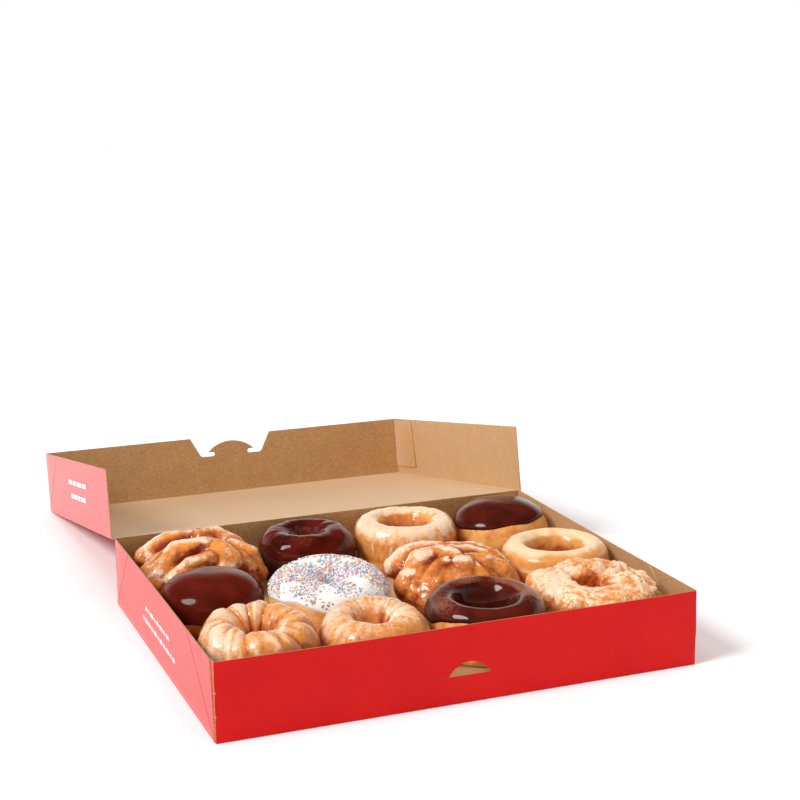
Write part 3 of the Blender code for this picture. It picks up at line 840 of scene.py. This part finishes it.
def grooves(ring, lines):
    """Pressed lines: degrees at the hole and at the rim, half width, depth, and where each runs."""
    total = np.zeros_like(ring.share)
    for hole, rim, width, depth, start, end in lines:
        away = np.abs(turned(ring.u, hole + (rim - hole) * np.clip(ring.share, -0.2, 1.2))) / width
        ends = ease(ring.share, start - 0.12, start + 0.12) * ease(-ring.share, -end - 0.12, 0.12 - end)
        total += depth * np.exp(-away ** 1.4) * ends
    return total


def crust_tones(ring, relief, seed, top_glaze, sides=0.3, streaks=None):
    """Toast and glaze over a crust: browner in its folds, on its sides and where it turns under, partly as
    painted shade; glazed where it faces up.
    """
    fold = blurred(relief, 8, 8) - relief
    patch = ring.noise(16, 3, seed)
    lines = drawn(ring, ring.u, 5, 4.0, seed + 5) if streaks is None else streaks
    # darker in folds and on faces turned down: painted shade over the fried colour
    toast = 0.34 + 0.55 * fold + 0.3 * ease(-ring.facing, -0.6, 0.4) + 0.22 * patch
    glaze = top_glaze * ease(ring.facing, -0.1, 0.9) + 0.3 * patch + 0.42 * lines - 0.8 * fold
    glaze += sides * ease(0.4 - ring.facing, 0, 0.6) * lines
    return np.clip(toast, 0, 1), np.clip(glaze, 0, 1)


# Where the cruller's folds meet: angle at the hole, angle at the rim, and the fold's height and stripes.
CRULLER_FOLDS = (
    (285, 310, 1.0, 1), (322, 357, 0.9, 2), (365, 388, 0.9, 1), (426, 415, 1.0, 1), (466, 440, 0.9, 1),
    (492, 470, 1.0, 1), (516, 520, 1.0, 2), (540, 582, 1.2, 2), (573, 612, 1.4, 3),
)


def make_cruller():
    ring = Ring(400, 140, standing(49.3, 57.0, top=66.2, tilt=5), 44.6, 9, 2.1)
    share, count = ring.share, len(CRULLER_FOLDS)
    phase = np.empty_like(ring.u)
    for column in range(ring.u.shape[1]):
        at_share = min(1.15, max(-0.15, share[0, column]))
        edges = [hole + (rim - hole) * at_share for hole, rim, _, _ in CRULLER_FOLDS]
        edges.append(edges[0] + 360)
        turn = (np.degrees(ring.u[:, column]) - edges[0]) % 360 + edges[0]
        phase[:, column] = np.interp(turn, edges, range(count + 1))
    number, across = np.floor(phase).astype(int) % count, phase % 1
    tall, stripes = (np.array([fold[k] for fold in CRULLER_FOLDS])[number] for k in (2, 3))
    sway = ring.noise(14, 2, 24)
    hump = np.sin(math.pi * across ** 0.85) ** 0.5
    stripe = 0.5 - 0.5 * np.cos(math.tau * (stripes * across + 0.35 * sway * hump))
    strong = 0.3 + ease(ring.noise(22, 2, 26), -0.5, 0.5)
    relief = 3.1 * tall * (hump - 0.75) + strong * (stripe - 0.5) * hump
    relief = blurred(relief + 0.5 * ring.noise(9, 3, 21) + 0.7 * sway, 2, 1)
    # glaze along the stripe crests: partly painted highlight lines
    lines = drawn(ring, phase * math.tau / count, 5.5, 3.5, 23) + 0.5 * (stripe - 0.5)
    toast, glaze = crust_tones(ring, relief * 0.6, 22, top_glaze=0.42, streaks=lines)
    # painted shade: browner and less glazed in the hole, in the fold valleys, and on the front and right,
    # away from the key light
    inside = ease(0.3 - share, -0.1, 0.3)
    front, right = ring.beside(290, 26, 0.62, 0.95), ring.beside(330, 40, 0.5, 0.85)
    toast += 0.25 * ease(0.6 - hump, 0, 0.6) + 0.45 * inside + 0.5 * front + 0.2 * right
    # paler glaze on the left bulge: painted highlight
    glaze += 0.6 * ring.beside(205, 26, 0.35, 0.7) + 0.3 * ring.near(110, 40) * ease(hump, 0.7, 0.95)
    glaze -= 0.6 * inside + 0.5 * front + 0.4 * right
    ring.piece("cruller", GLAZED, relief, toast=toast, glaze=glaze)


def make_pinched_ring():
    ring = Ring(360, 128, standing(136.2, 48.8, top=62.5, tilt=5), 41.6, 7.5, 2.15)
    share = ring.share
    lines = [(150, 138, 9, 3.4, -0.2, 0.34), (40, 52, 8, 3.2, -0.2, 0.3), (205, 196, 8, 2.6, -0.2, 0.36),
             (330, 342, 7, 2.0, 0.1, 0.75), (350, 362, 6, 2.0, 0.15, 0.8), (12, 18, 6, 2.0, 0.1, 0.7),
             (28, 30, 5, 1.2, 0.3, 0.8), (300, 318, 7, 1.2, 0.1, 0.7), (250, 240, 9, 0.9, 0, 0.6)]
    funnel = bell(share, 0.2, 0.15) * (3.2 * ring.near(120, 75) + 2.4 * ring.near(190, 40))
    relief = 0.6 * ring.noise(16, 2, 33) + 0.3 * ring.noise(6, 2, 35) - grooves(ring, lines) - funnel
    veins = drawn(ring, ring.u + 0.1 * share, 5.5, 3.0, 36)
    toast, glaze = crust_tones(ring, relief * 0.7, 34, top_glaze=0.45, streaks=veins)
    # painted shade: browner and less glazed down in the funnel of the hole
    deep = ease(0.26 - share, -0.08, 0.3)
    toast += deep * (0.35 + 0.55 * np.maximum(ring.near(200, 45), ring.near(35, 22)))
    toast += 0.2 * ring.beside(270, 55, 0.5, 0.8)
    glaze += 0.2 * ring.beside(165, 50, 0.2, 0.5) + 0.3 * ring.near(0, 32) - 0.9 * deep
    glaze -= 0.45 * ring.beside(270, 45, 0.45, 0.75)
    ring.piece("pinched_ring", GLAZED, blurred(relief, 1, 1), toast=toast, glaze=glaze)


def soft_dough(ring, seed, amount=0.6):
    return amount * ring.noise(30, 2, seed)


def golden_ring(name, ring, relief, brown, seed, band=0.0):
    """The fried ring under an icing, its waist paler by the band's strength."""
    # browner where it turns under: fried colour and painted shade
    toast = np.clip(brown + 0.4 * ease(-ring.facing, -0.1, 0.9) + 0.2 * ring.noise(12, 2, seed), 0, 1)
    toast -= band * bell(ring.rise, -2, 4)
    ring.piece(name, GOLDEN, relief, toast=toast)


def iced_ring(name, finish, ring, relief, edges, thickness, seed, bloom=0.0):
    """An icing over a ring's top, its two edges wavy and rounded. Returns the distance inside them.

    The edges are where the icing starts and ends, in millimetres up and over from the rim's waist.
    """
    base = ring.skin(relief)
    steps = np.linalg.norm(np.roll(base, -1, axis=1) - base, axis=-1)
    along = np.cumsum(steps, axis=1) - steps
    along = np.where(ring.v > 1.5 * math.pi, along - steps.sum(axis=1, keepdims=True), along)
    swing = ((1.2, 3, 1), (0.7, 7, 2.1), (0.4, 13, 1))
    wobble = sum(size * np.sin(count * ring.u + turn * seed) for size, count, turn in swing)
    inside = np.minimum(along - edges[0] - wobble, edges[1] + 0.6 * wobble - along)
    flow = 0.18 * ring.noise(14, 2, seed + 9) * ease(inside, 0, 3)
    # painted sheen: a pale film on the icing's crest where it is asked for, standing in for reflections
    on_top = ease(ring.share, 0.34, 0.46) * ease(-ring.share, -0.86, -0.66)
    sheen_share = bloom * on_top * (1 + 0.4 * ring.noise(16, 2, 4))
    ring.piece(name, finish, relief + iced_edge(inside, thickness) + flow, "_coat", most=2.0, bloom=sheen_share)
    return inside


def make_dipped_ring():
    """Its hole opens out like a funnel, most at its far side."""
    for across in (96, 112):
        ring = Ring(256, across, standing(225.4, 48, top=62.6, tilt=3), 45.4, 19, 2.3)
        funnel = 3.2 * (0.25 + 0.75 * ring.near(95, 65)) * bell(ring.share, 0.24, 0.17)
        relief = soft_dough(ring, 41) - funnel
        if across == 96:
            golden_ring("dipped_ring", ring, relief, 0.25, 42, band=0.3)
    # patches of painted sheen on the icing: strength, angle round the ring and width of each
    spots = ((0.6, 182, 38), (0.8, 100, 40), (1.4, 12, 50))
    bloom = np.max([strength * ring.near(angle, width) for strength, angle, width in spots], axis=0)
    edges = (5.5 + 11 * ring.near(226, 42), 72)
    iced_ring("dipped_ring_icing", CHOCOLATE, ring, relief, edges, 1.9, 1, bloom)


def make_old_fashioned():
    ring = Ring(440, 160, standing(321.6, 51.6, top=63.6, tilt=3), 47.6, 11, 2.5)
    u, v, share = ring.u, ring.v, ring.share
    petal = np.abs(np.sin(4.5 * u + 0.4 + 0.5 * np.sin(2 * u))) ** 0.55
    split = bell(turned(v, 0), 64 + 7 * np.sin(5 * u + 1) + 5 * np.sin(9 * u), 8)
    split *= (0.4 + 0.4 * np.sin(3 * u + 2)) * (0.5 + petal)
    lobe = bump(u, 86, 30) * bump(v, 124, 40)
    long_petal = bump(u, 152, 13) * bump(v, 28, 32)
    lumps, crumb = ring.noise(15, 2, 51), ring.noise(6, 3, 52)
    craggy = bump(u, 20, 38) + 0.7 * bump(u, 330, 30)
    ridges = 1 - 2.4 * np.abs(ring.noise(11, 2, 58))
    relief = 3.2 * bump(v, 28, 34) * (petal - 0.6) - 2.6 * split + 4.8 * lobe + 8.5 * long_petal
    relief += 3.0 * bump(u, 115, 55) * bump(v, 48, 26) + 1.2 * lumps + (0.55 + 0.6 * craggy) * crumb
    relief += (0.35 + 1.1 * craggy) * ridges
    relief -= grooves(ring, [(40, 52, 7, 2.8, 0, 0.6), (128, 122, 6, 2.6, 0, 0.6), (12, 20, 6, 2.2, 0.2, 0.9),
                             (350, 345, 6, 1.6, 0.3, 0.9), (200, 196, 7, 1.2, 0.5, 1.0)])
    relief = np.where(ring.rise > -14, relief, 0.4 * relief)
    toast, glaze = crust_tones(ring, relief * 0.7, 53, top_glaze=0.66, streaks=0.5 * crumb)
    wall, sides, back = ease(0.3 - share, 0, 0.16), ease(share, 0.74, 0.98), bump(u, 165, 42)
    golden = ease(ring.noise(9, 3, 57), -0.4, 0.6) * (1 - 0.8 * back)
    toast += 0.8 * wall + 0.3 * sides + 0.2 * golden + 0.2 * long_petal + 0.15 * craggy - 0.14
    glaze += 0.02 + 0.3 * craggy * ridges + 0.4 * back * ease(share, 0.1, 0.35)
    glaze -= 1.4 * wall + 0.4 * sides + 0.4 * golden + 0.35 * long_petal + 0.35 * lobe
    ring.points[..., :2] += np.array((-4, 5)) * ease(0.5 - share, 0, 0.4)[..., None]
    ring.piece("old_fashioned", CRAGGY, relief, toast=toast, glaze=glaze)


# Each sugar colour with its share of the rods.
SUGAR_TINTS = (
    ((222, 118, 150), 0.13), ((96, 168, 206), 0.15), ((250, 218, 140), 0.12), ((238, 156, 110), 0.09),
    ((252, 250, 244), 0.25), ((176, 146, 194), 0.06), ((158, 208, 228), 0.12), ((244, 188, 196), 0.08),
)


def scatter_sprinkles(points, out, keep, count, seed):
    """Short sugar rods laid flat on an icing, joined in one mesh, each with its own tint."""
    draw = np.random.default_rng(seed)
    built = bmesh.new()
    points, out = points.reshape(-1, 3), out.reshape(-1, 3)
    for pick in draw.choice(len(points), count, p=keep.ravel() / keep.sum()):
        up, heading = Vector(out[pick]), Vector(draw.normal(size=3))
        heading = (heading - up * heading.dot(up)).normalized()
        turn = Matrix((heading, up.cross(heading), up)).transposed().to_4x4()
        length, radius = draw.uniform(1.4, 2.6), draw.uniform(0.5, 0.68)
        middle = Matrix.Translation(Vector(points[pick]) + up * (0.55 * radius + draw.uniform(0, 0.5)))
        size = Matrix.Diagonal((length / 2, radius, radius, 1))
        rod = bmesh.new()
        bmesh.ops.create_uvsphere(
            rod, u_segments=6, v_segments=6, radius=1,
            matrix=middle @ turn @ size @ Matrix.Rotation(math.pi / 2, 4, "Y")
        )
        tint = rod.verts.layers.float_color.new("tint")
        colour, _ = SUGAR_TINTS[draw.choice(len(SUGAR_TINTS), p=[share for _, share in SUGAR_TINTS])]
        for vertex in rod.verts:
            vertex[tint] = paint(*colour)
        one = bpy.data.meshes.new("rod")
        rod.to_mesh(one)
        rod.free()
        built.from_mesh(one)
        bpy.data.meshes.remove(one)
    settle_in(mesh_of("sprinkles", built, (SUGAR,)), SUGAR)


def make_sprinkled_ring():
    for around, across in ((256, 96), (288, 120)):
        ring = Ring(around, across, standing(132.6, 142.0, top=63, tilt=8), 47.6, 4.8, 2.2)
        relief = soft_dough(ring, 61)
        if across == 96:
            golden_ring("sprinkled_ring", ring, relief, 0.3, 62)
    thickness, edges = 1.9, (5 + 9 * ring.near(225, 50), 80)
    inside = iced_ring("sprinkled_ring_icing", WHITE, ring, relief, edges, thickness, 3)
    keep = ease(inside, 1, 7) * ease(ring.facing, 0.1, 0.7) * ease(ring.noise(20, 2, 64), -0.45, 0.3)
    keep *= np.maximum(ring.radius, 6) * (0.5 + ease(ring.points[..., 1], -40, -6))
    keep *= 1 + 0.9 * ease(-ring.radius, -20, -9)
    surface = placed(ring.skin(relief + thickness), ring.pose)
    scatter_sprinkles(surface, ring.out @ np.array(ring.pose.to_3x3()).T, keep, 3200, 65)


def make_maple_ring():
    ring = Ring(300, 120, standing(333.0, 147.2, top=64), 45.6, 20.5, 2.35)
    share, facing = ring.share, ring.facing
    hole = ease(ring.radius, 26, 19) * ease(-ring.rise, -20, -8)
    crumb = ring.noise(8, 4, 71)
    relief = soft_dough(ring, 72) + 2.0 * hole * crumb + 0.5 * bump(ring.v, 42, 9)
    # browner where it turns under: fried colour and painted shade
    toast = 0.12 + 0.8 * hole * ease(crumb, -0.8, 0.5) + 0.4 * ease(-facing, -0.2, 0.8) + 0.14 * crumb
    # painted shade: browner on the right end, away from the key light, and on the hole's inner slope
    toast += 0.6 * ring.beside(340, 30, 0.74, 0.95) + 0.25 * ease(0.3 - share, 0, 0.3)
    # lit: facing up, less so on the right; the crown's paler glaze on the lit left side is painted light
    lit = facing - 0.25 * ring.near(345, 45)
    crown = bell(share, 0.45, 0.17) + 0.5 * ring.near(190, 60) * ease(lit, 0.3, 0.8)
    glaze = 0.12 + 0.78 * crown + 0.4 * ring.noise(18, 2, 73) + 0.15 * crumb - 1.4 * hole
    # a thin pale line near the rim at the left front: painted highlight
    glaze += 0.7 * bell(share, 0.9, 0.03) * ring.near(215, 22) - 0.8 * ease(0.34 - share, 0, 0.16)
    ring.piece("maple_ring", MAPLE, relief, toast=toast, glaze=glaze)


def make_cake_ring():
    for iced in (False, True):
        ring = Ring(288, 112, standing(157.2, 271.6, top=60.6), 41.4, 6.5, 2.3)
        relief = soft_dough(ring, 81, 0.9)
        if not iced:
            relief += 0.9 * ring.noise(5, 3, 82)
            ring.piece("cake_ring", DARK_CAKE, relief)
    relief += 0.35 * ring.noise(12, 2, 84) - 1.5 * bump(ring.v, 128, 26)
    for place, width, depth in ((20, 10, 2.0), (95, 8, 1.6), (170, 9, 2.4), (225, 8, 2.2), (300, 10, 1.8)):
        away = np.abs(turned(ring.u, place + 12 * np.sin(ring.v))) / width
        relief -= 0.8 * depth * np.exp(-away) * ease(ring.v, 1.2, 2.4)
    # the last value is painted sheen on the icing's front, standing in for a highlight
    iced_ring("cake_ring_icing", CAKE_ICING, ring, relief, (6.5, 74), 1.7, 5, 0.35 * ring.near(235, 40))


def make_tall_ring():
    ring = Ring(300, 128, standing(246.4, 266.6, top=62.2), 45.6, 19.5, 2.7)
    waist = bell(ring.rise, -6, 3.5) * ease(np.cos(ring.v), 0, 0.5)
    relief = soft_dough(ring, 91) - 0.9 * waist + 0.5 * ring.noise(9, 3, 92)
    toast, glaze = crust_tones(ring, relief, 93, top_glaze=0.7, sides=0.8)
    hole = ease(ring.radius, 28, 22) * ease(-ring.rise, -22, -16)
    # painted shade: browner on the right front, away from the key light
    toast += 0.6 * ring.beside(325, 45, 0.7, 0.95) - 0.3 + 0.4 * hole
    glaze += 0.42 * ease(ring.facing, 0.1, 0.5) + 0.25 * ring.noise(8, 3, 94) - 1.6 * hole
    glaze -= 0.15 * ease(ring.share, 0.8, 0.95) + 0.5 * ring.near(20, 50) * ease(0.5 - ring.share, 0, 0.2)
    ring.piece("tall_ring", GLAZED, relief, toast=toast, glaze=glaze)


# ---------------- filled buns


def make_bun(name, stand, outer, power, edges, finish, seed):
    """A bun without a hole and its cap of icing, whose edge has a level, a waviness and a lean."""
    pose, height = stand
    level, wavy, lean = edges
    for coat in (False, True):
        built = bmesh.new()
        bmesh.ops.create_uvsphere(built, u_segments=224, v_segments=112, radius=1)
        x, y, z = np.array([vertex.co for vertex in built.verts]).T
        u, v = np.arctan2(y, x), np.arcsin(np.clip(z, -1, 1))
        shape, out = plain_skin(u, v, 0, outer, height / 2, power)
        relief = 0.6 * rough(shape, 34, 2, seed)
        if coat:
            wobble = wavy * (np.sin(3 * u + seed) + 0.5 * np.sin(7 * u + 2 * seed))
            edge = level + wobble + lean * np.cos(u - math.radians(315))
            relief += iced_edge(shape[:, 2] - edge, 1.8) + 0.12 * waves(shape, 16, seed + 3)
        shape = placed(shape + out * relief[:, None], pose)
        obj = mesh_of(name + ("_coat" if coat else "_crust"), built, (finish if coat else GOLDEN,))
        move_points(obj.data, shape)
        if coat:
            settle_in(obj, finish, name + "_icing")
        else:
            band = bell(shape[:, 2], REST + 0.45 * height, 4)
            # browner where it turns under: fried colour and painted shade
            toast = 0.35 + 0.35 * ease(-out[:, 2], -0.2, 0.8) - 0.3 * band + 0.25 * waves(shape, 12, seed + 5)
            hold(obj.data, "toast", toast)
            settle_in(obj, GOLDEN, name)


# ---------------- fritters
# A finger is a chain of balls (x, y, z, radius) about the fritter's middle. A crevice, darkened as painted
# shade, is pressed in along a line and pooled glaze with painted glints lies along one, each with its width
# and strength. Drips are balls.

FRITTER_DROP = 6.0              # its core's middle lies this far below its own

BACK_FRITTER = {
    "core": (49, 37, 27),
    "fingers": [
        [(2, 20, 15, 9), (-22, 23, 14, 10), (-42, 19, 4, 10)],
        [(5, 13, 17, 9), (18, 15, 17, 9), (31, 3, 12, 8)],
        [(2, -10, 16, 10), (-20, -5, 14, 10), (-38, -16, 1, 10)],
        [(2, -26, 11, 7), (-16, -28, 8, 8), (-29, -31, -1, 8)], [(-45, -6, -4, 11), (-44, -22, -8, 10)],
        [(12, -16, 12, 12), (18, -24, 6, 12), (12, -30, -2, 10)],
        [(26, -8, 12, 9), (38, -14, 6, 9), (44, -18, -8, 9)],
        [(30, 2, 10, 8), (42, 0, 0, 9), (46, -6, -12, 8)],
        [(28, -22, 6, 8), (35, -24, -2, 8), (38, -21, -14, 8)],
    ],
    "crevices": [
        (3.0, 3.8, [(-33, 12, 14), (-24, 14, 17), (-15, 14, 19), (-7, 14, 20), (0, 10, 20)]),
        (3.0, 4.2, [(-25, -24, 10), (-19, -22, 14), (-12, -20, 16), (-2, -18, 19)]),
        (2.4, 1.8, [(5, 8, 22), (12, 9, 22), (20, 8, 20)]),
        (2.2, 2.4, [(22, -4, 18), (24, -16, 15), (24, -26, 8)]),
    ],
    "pooled_glints": [
        (4.4, 0.8, [(-42, 20, 12), (-34, 24, 18), (-25, 26, 22), (-13, 25, 24), (-3, 22, 23)]),
        (5.0, 0.8, [(-31, -6, 18), (-26, -4, 21), (-17, -6, 24), (-9, -9, 25), (-2, -12, 25), (3, -14, 24)]),
        (2.4, 0.7, [(-27, -32, 8), (-21, -31, 12), (-13, -31, 15), (-4, -30, 16)]),
        (3.4, 0.7, [(2, 20, 23), (12, 18, 26), (22, 16, 24), (31, 8, 18)]),
        (3.0, 0.7, [(10, 5, 21), (20, 2, 20), (27, -10, 19), (33, -18, 13)]),
        (2.6, 0.6, [(2, -33, 9), (14, -36, 6), (26, -32, 8)]),
    ],
    "drips": [(-41, -25, 4, 5), (-46, -21, 2, 4), (-32, -34, 4, 5), (-37, -28, 0, 6), (-46, 5, 4, 3),
              (-41, 10, 10, 3)],
}
MIDDLE_FRITTER = {
    "core": (47, 39, 26),
    "fingers": [
        [(2, 27, 15, 8), (-12, 29, 16, 9), (-30, 27, 14, 9), (-41, 22, 8, 9)],
        [(-4, 14, 15, 10), (-22, 10, 12, 12), (-38, -2, -1, 12)],
        [(2, 8, 13, 11), (4, -12, 9, 13), (3, -27, -4, 13)],
        [(-6, -6, 9, 12), (-18, -18, 0, 13), (-27, -22, -8, 12)],
        [(12, -4, 12, 9), (26, -10, 10, 10), (37, -14, 6, 10), (43, -20, -5, 9)],
        [(6, 14, 16, 8), (22, 12, 14, 8), (34, 2, 10, 8)],
        [(8, 26, 14, 8), (27, 20, 13, 9), (38, 5, 10, 9), (44, -10, 4, 8), (44, -18, -6, 9)],
    ],
    "crevices": [
        (3.2, 4.0, [(-46, 10, 2), (-38, 14, 10), (-28, 19, 15), (-16, 21, 18), (-6, 20, 19)]),
        (3.0, 2.6, [(-12, 3, 20), (-19, -2, 17), (-28, -10, 11), (-36, -16, 4)]),
        (2.6, 3.4, [(10, -3, 20), (15, -9, 17), (20, -17, 12), (24, -26, 4)]),
        (2.4, 3.0, [(12, 4, 20), (22, 2, 18), (32, -4, 14), (42, -10, 6)]),
        (2.2, 2.6, [(10, 20, 20), (22, 17, 18), (32, 8, 14)]),
        (2.4, 1.6, [(-4, -8, 20), (-8, -18, 14), (-12, -28, 4)]),
    ],
    "pooled_glints": [
        (4.6, 0.75, [(-46, 20, 10), (-38, 25, 18), (-28, 29, 23), (-12, 30, 25), (2, 28, 24)]),
        (1.8, 1.2, [(-42, 3, 9), (-35, 9, 16), (-29, 13, 21), (-20, 16, 24), (-9, 17, 25)]),
        (5.0, 0.8, [(-24, 4, 20), (-18, 5, 22)]), (3.6, 0.8, [(-6, 12, 25), (0, 6, 25), (5, -2, 24)]),
        (1.8, 1.2, [(0, 4, 25), (7, -2, 24), (12, -9, 20), (16, -18, 15)]),
        (4.6, 0.9, [(-7, -10, 21), (1, -15, 22), (7, -17, 20)]),
        (1.6, 1.2, [(12, -3, 20), (24, -4, 20), (36, -8, 16), (44, -14, 8)]),
        (2.6, 0.8, [(8, 13, 23), (20, 12, 22), (33, 4, 18)]),
        (3.2, 0.8, [(6, 28, 22), (20, 26, 22), (32, 16, 20), (42, 2, 16), (50, -10, 8)]),
        (2.6, 0.6, [(-24, -12, 11), (-16, -20, 10)]),
    ],
    "drips": [(-40, -3, 11, 5), (-36, -6, 12, 4), (-22, -20, 8, 3)],
}


def chain_distance(points, chain):
    """Distance to a chain of balls."""
    nearest = np.full(len(points), 1e6)
    for start, end in zip(chain, chain[1:]):
        origin, run = np.array(start[:3]), np.subtract(end[:3], start[:3])
        along = np.clip((points - origin) @ run / (run @ run), 0, 1)
        radius = start[3] + (end[3] - start[3]) * along
        nearest = np.minimum(nearest, np.linalg.norm(points - origin - run * along[:, None], axis=1) - radius)
    return nearest


def fritter_distances(points, fritter):
    """Distance to the core and to each finger: one column each."""
    core = np.array(fritter["core"])
    shape = (points + np.array((0, 0, FRITTER_DROP))) / core
    length = np.linalg.norm(shape, axis=1)
    inside = length * (length - 1) / np.maximum(np.linalg.norm(shape / core, axis=1), 1e-6)
    return np.stack([inside] + [chain_distance(points, finger) for finger in fritter["fingers"]], axis=1)


def joined(distances, softness):
    """A smooth least distance: neighbours merge over a soft crease."""
    least = distances.min(axis=1)
    return least - softness * np.log(np.exp(-(distances - least[:, None]) / softness).sum(axis=1))


def along_lines(points, lines):
    """Greatest share of any line's strength, from its width, strength and places."""
    return np.max([
        strength * bell(chain_distance(points, [(*place, 0) for place in places]), 0, width)
        for width, strength, places in lines
    ], axis=0)


def make_fritter(name, from_left, from_front, level, fritter, seed):
    """A lumpy fritter: glaze pooled along its ridges with painted glints, and painted shade in its crevices,
    its creases and where it turns under.
    """
    built = bmesh.new()
    bmesh.ops.create_icosphere(built, subdivisions=7, radius=1)
    heading = np.array([vertex.co for vertex in built.verts]) * np.array((1, 1, 0.8))
    heading /= np.linalg.norm(heading, axis=1)[:, None]
    middle = np.array((0, 0, -FRITTER_DROP))
    far, steps, stride, merge = 80.0, 50, 0.75, 1.5
    reach = np.full(len(heading), far)
    for _ in range(steps):
        reach -= stride * joined(fritter_distances(middle + heading * reach[:, None], fritter), merge)
    shape = middle + heading * reach[:, None]
    distances = np.sort(fritter_distances(shape, fritter), axis=1)
    lumps = rough(shape, 14, 3, seed)
    crease = np.exp(-(distances[:, 1] - distances[:, 0]) / 2.4) * (0.75 + 0.5 * rough(shape, 20, 1, seed + 6))
    crevice = along_lines(shape, fritter["crevices"])
    beyond = [np.linalg.norm(shape - drip[:3], axis=1) / drip[3] for drip in fritter["drips"]]
    drips = bell(np.min(beyond, axis=0), 0, 1)
    reach += 0.9 * lumps + 0.3 * rough(shape, 4, 2, seed + 4) - 1.3 * crease - 1.15 * crevice + 0.7 * drips
    pooled_glints = along_lines(shape + 2.0 * lumps[:, None], fritter["pooled_glints"])
    pose = Matrix.Translation((from_left - HALF_X, from_front - HALF_Y, level))
    shape = placed(middle + heading * reach[:, None], pose)
    obj = mesh_of(name + "_crust", built, (FRITTER,))
    move_points(obj.data, shape)
    facing = np.empty(len(shape) * 3)
    obj.data.vertex_normals.foreach_get("vector", facing)
    lit = facing.reshape(-1, 3)[:, 2]
    patch, blotch = rough(shape, 15, 3, seed + 8), rough(shape, 6, 2, seed + 12)
    dark = np.clip(crevice / 2.8, 0, 1)
    # painted shade: browner in crevices and creases and on faces turned down, over patchy fried colour
    toast = 0.2 + 1.5 * dark + 0.75 * crease ** 1.5 + 0.55 * ease(-lit, -0.5, 0.25)
    toast += 0.3 * patch - 0.15 * lumps
    # painted sheen: paler glaze on faces turned up; painted shade keeps it out of crevices and creases
    glaze = 0.1 + 0.3 * ease(lit, 0.4, 0.95) + 0.35 * patch + 0.25 * blotch - 0.7 * crease - 2.0 * dark
    # the pooled glaze lines also stand in for glints: painted highlights
    glaze += 1.2 * pooled_glints * (1 + 0.35 * blotch) + 0.8 * ease(drips, 0.1, 0.9)
    hold(obj.data, "toast", toast)
    hold(obj.data, "glaze", glaze)
    settle_in(obj, FRITTER, name)


def make_doughnuts():
    make_cruller()
    make_pinched_ring()
    make_dipped_ring()
    make_old_fashioned()
    make_bun("filled_bun_middle", standing(46.4, 174.6, top=64), 39.8, 2.5, (-6.5, 1.2, 0), SATIN, 2)
    make_sprinkled_ring()
    make_fritter("middle_fritter", 236.0, 139.5, 46, MIDDLE_FRITTER, 101)
    make_maple_ring()
    make_fritter("back_fritter", 60.2, 262.3, 44.8, BACK_FRITTER, 111)
    make_cake_ring()
    make_tall_ring()
    make_bun("filled_bun_back", standing(335.2, 260.0, top=68.4), 42, 2.3, (10.0, 0.8, 4.5), CHOCOLATE, 7)


# ---------------- stage


def make_stage():
    built = bmesh.new()
    bmesh.ops.create_grid(built, x_segments=2, y_segments=2, size=6 / MM)
    pale = mottled_finish(
        "studio_floor", None, (3, 2), (251, 253, 254), (253, 254, 255), Roughness=0.9, Specular_IOR_Level=0.1
    )
    mesh_of("floor", built, (pale,), smooth=False)


def make_sun(name, toward, strength, spread, shines=True):
    """A soft light coming evenly from one direction, seen in glossy surfaces only if it shines."""
    lamp = bpy.data.lights.new(name, "SUN")
    lamp.energy, lamp.angle = strength, math.radians(spread)
    obj = bpy.data.objects.new(name, lamp)
    obj.rotation_euler = Vector(toward).to_track_quat("Z", "Y").to_euler()
    obj.visible_glossy = shines
    bpy.context.scene.collection.objects.link(obj)


def make_lights():
    """A white sweep all round under a dim ceiling, with a key from the left."""
    bpy.context.scene.view_settings.view_transform = "Standard"
    world = bpy.data.worlds.new("studio")
    world.use_nodes = True
    sky = Nodes(world.node_tree)
    heading = sky.node("ShaderNodeTexCoord").outputs["Generated"]
    rise = sky.node("ShaderNodeSeparateXYZ", {0: heading}).outputs[2]
    warmth = sky.span(rise, 0.08, 0.22, kind="LINEAR")
    tone = sky.blend(warmth, (1, 1, 1, 1), (1, 0.90, 0.80, 1))
    background = sky.tree.nodes["Background"].inputs
    sky.tree.links.new(tone, background["Color"])
    sky.tree.links.new(sky.span(rise, 0.22, 0.52, 1.0, 0.05), background["Strength"])
    bpy.context.scene.world = world
    make_sun("key", (-0.73, -0.08, 0.68), 2.6, 24)
    make_sun("overhead", (0.1, 0.15, 1.0), 1.45, 70, shines=False)
    make_sun("fill", (-0.1, -1.0, 0.35), 0.46, 60, shines=False)


def make_camera():
    lens = bpy.data.cameras.new("camera")
    lens.lens, lens.sensor_width = 75.4847, 36
    camera = bpy.data.objects.new("camera", lens)
    camera.location = (-0.45938, -1.20828, 0.47557)
    camera.rotation_euler = [math.radians(a) for a in (77.7002, 0.7127, -21.4251)]
    bpy.context.scene.collection.objects.link(camera)
    bpy.context.scene.camera = camera


make_camera()
make_carton()
make_doughnuts()
make_stage()
make_lights()
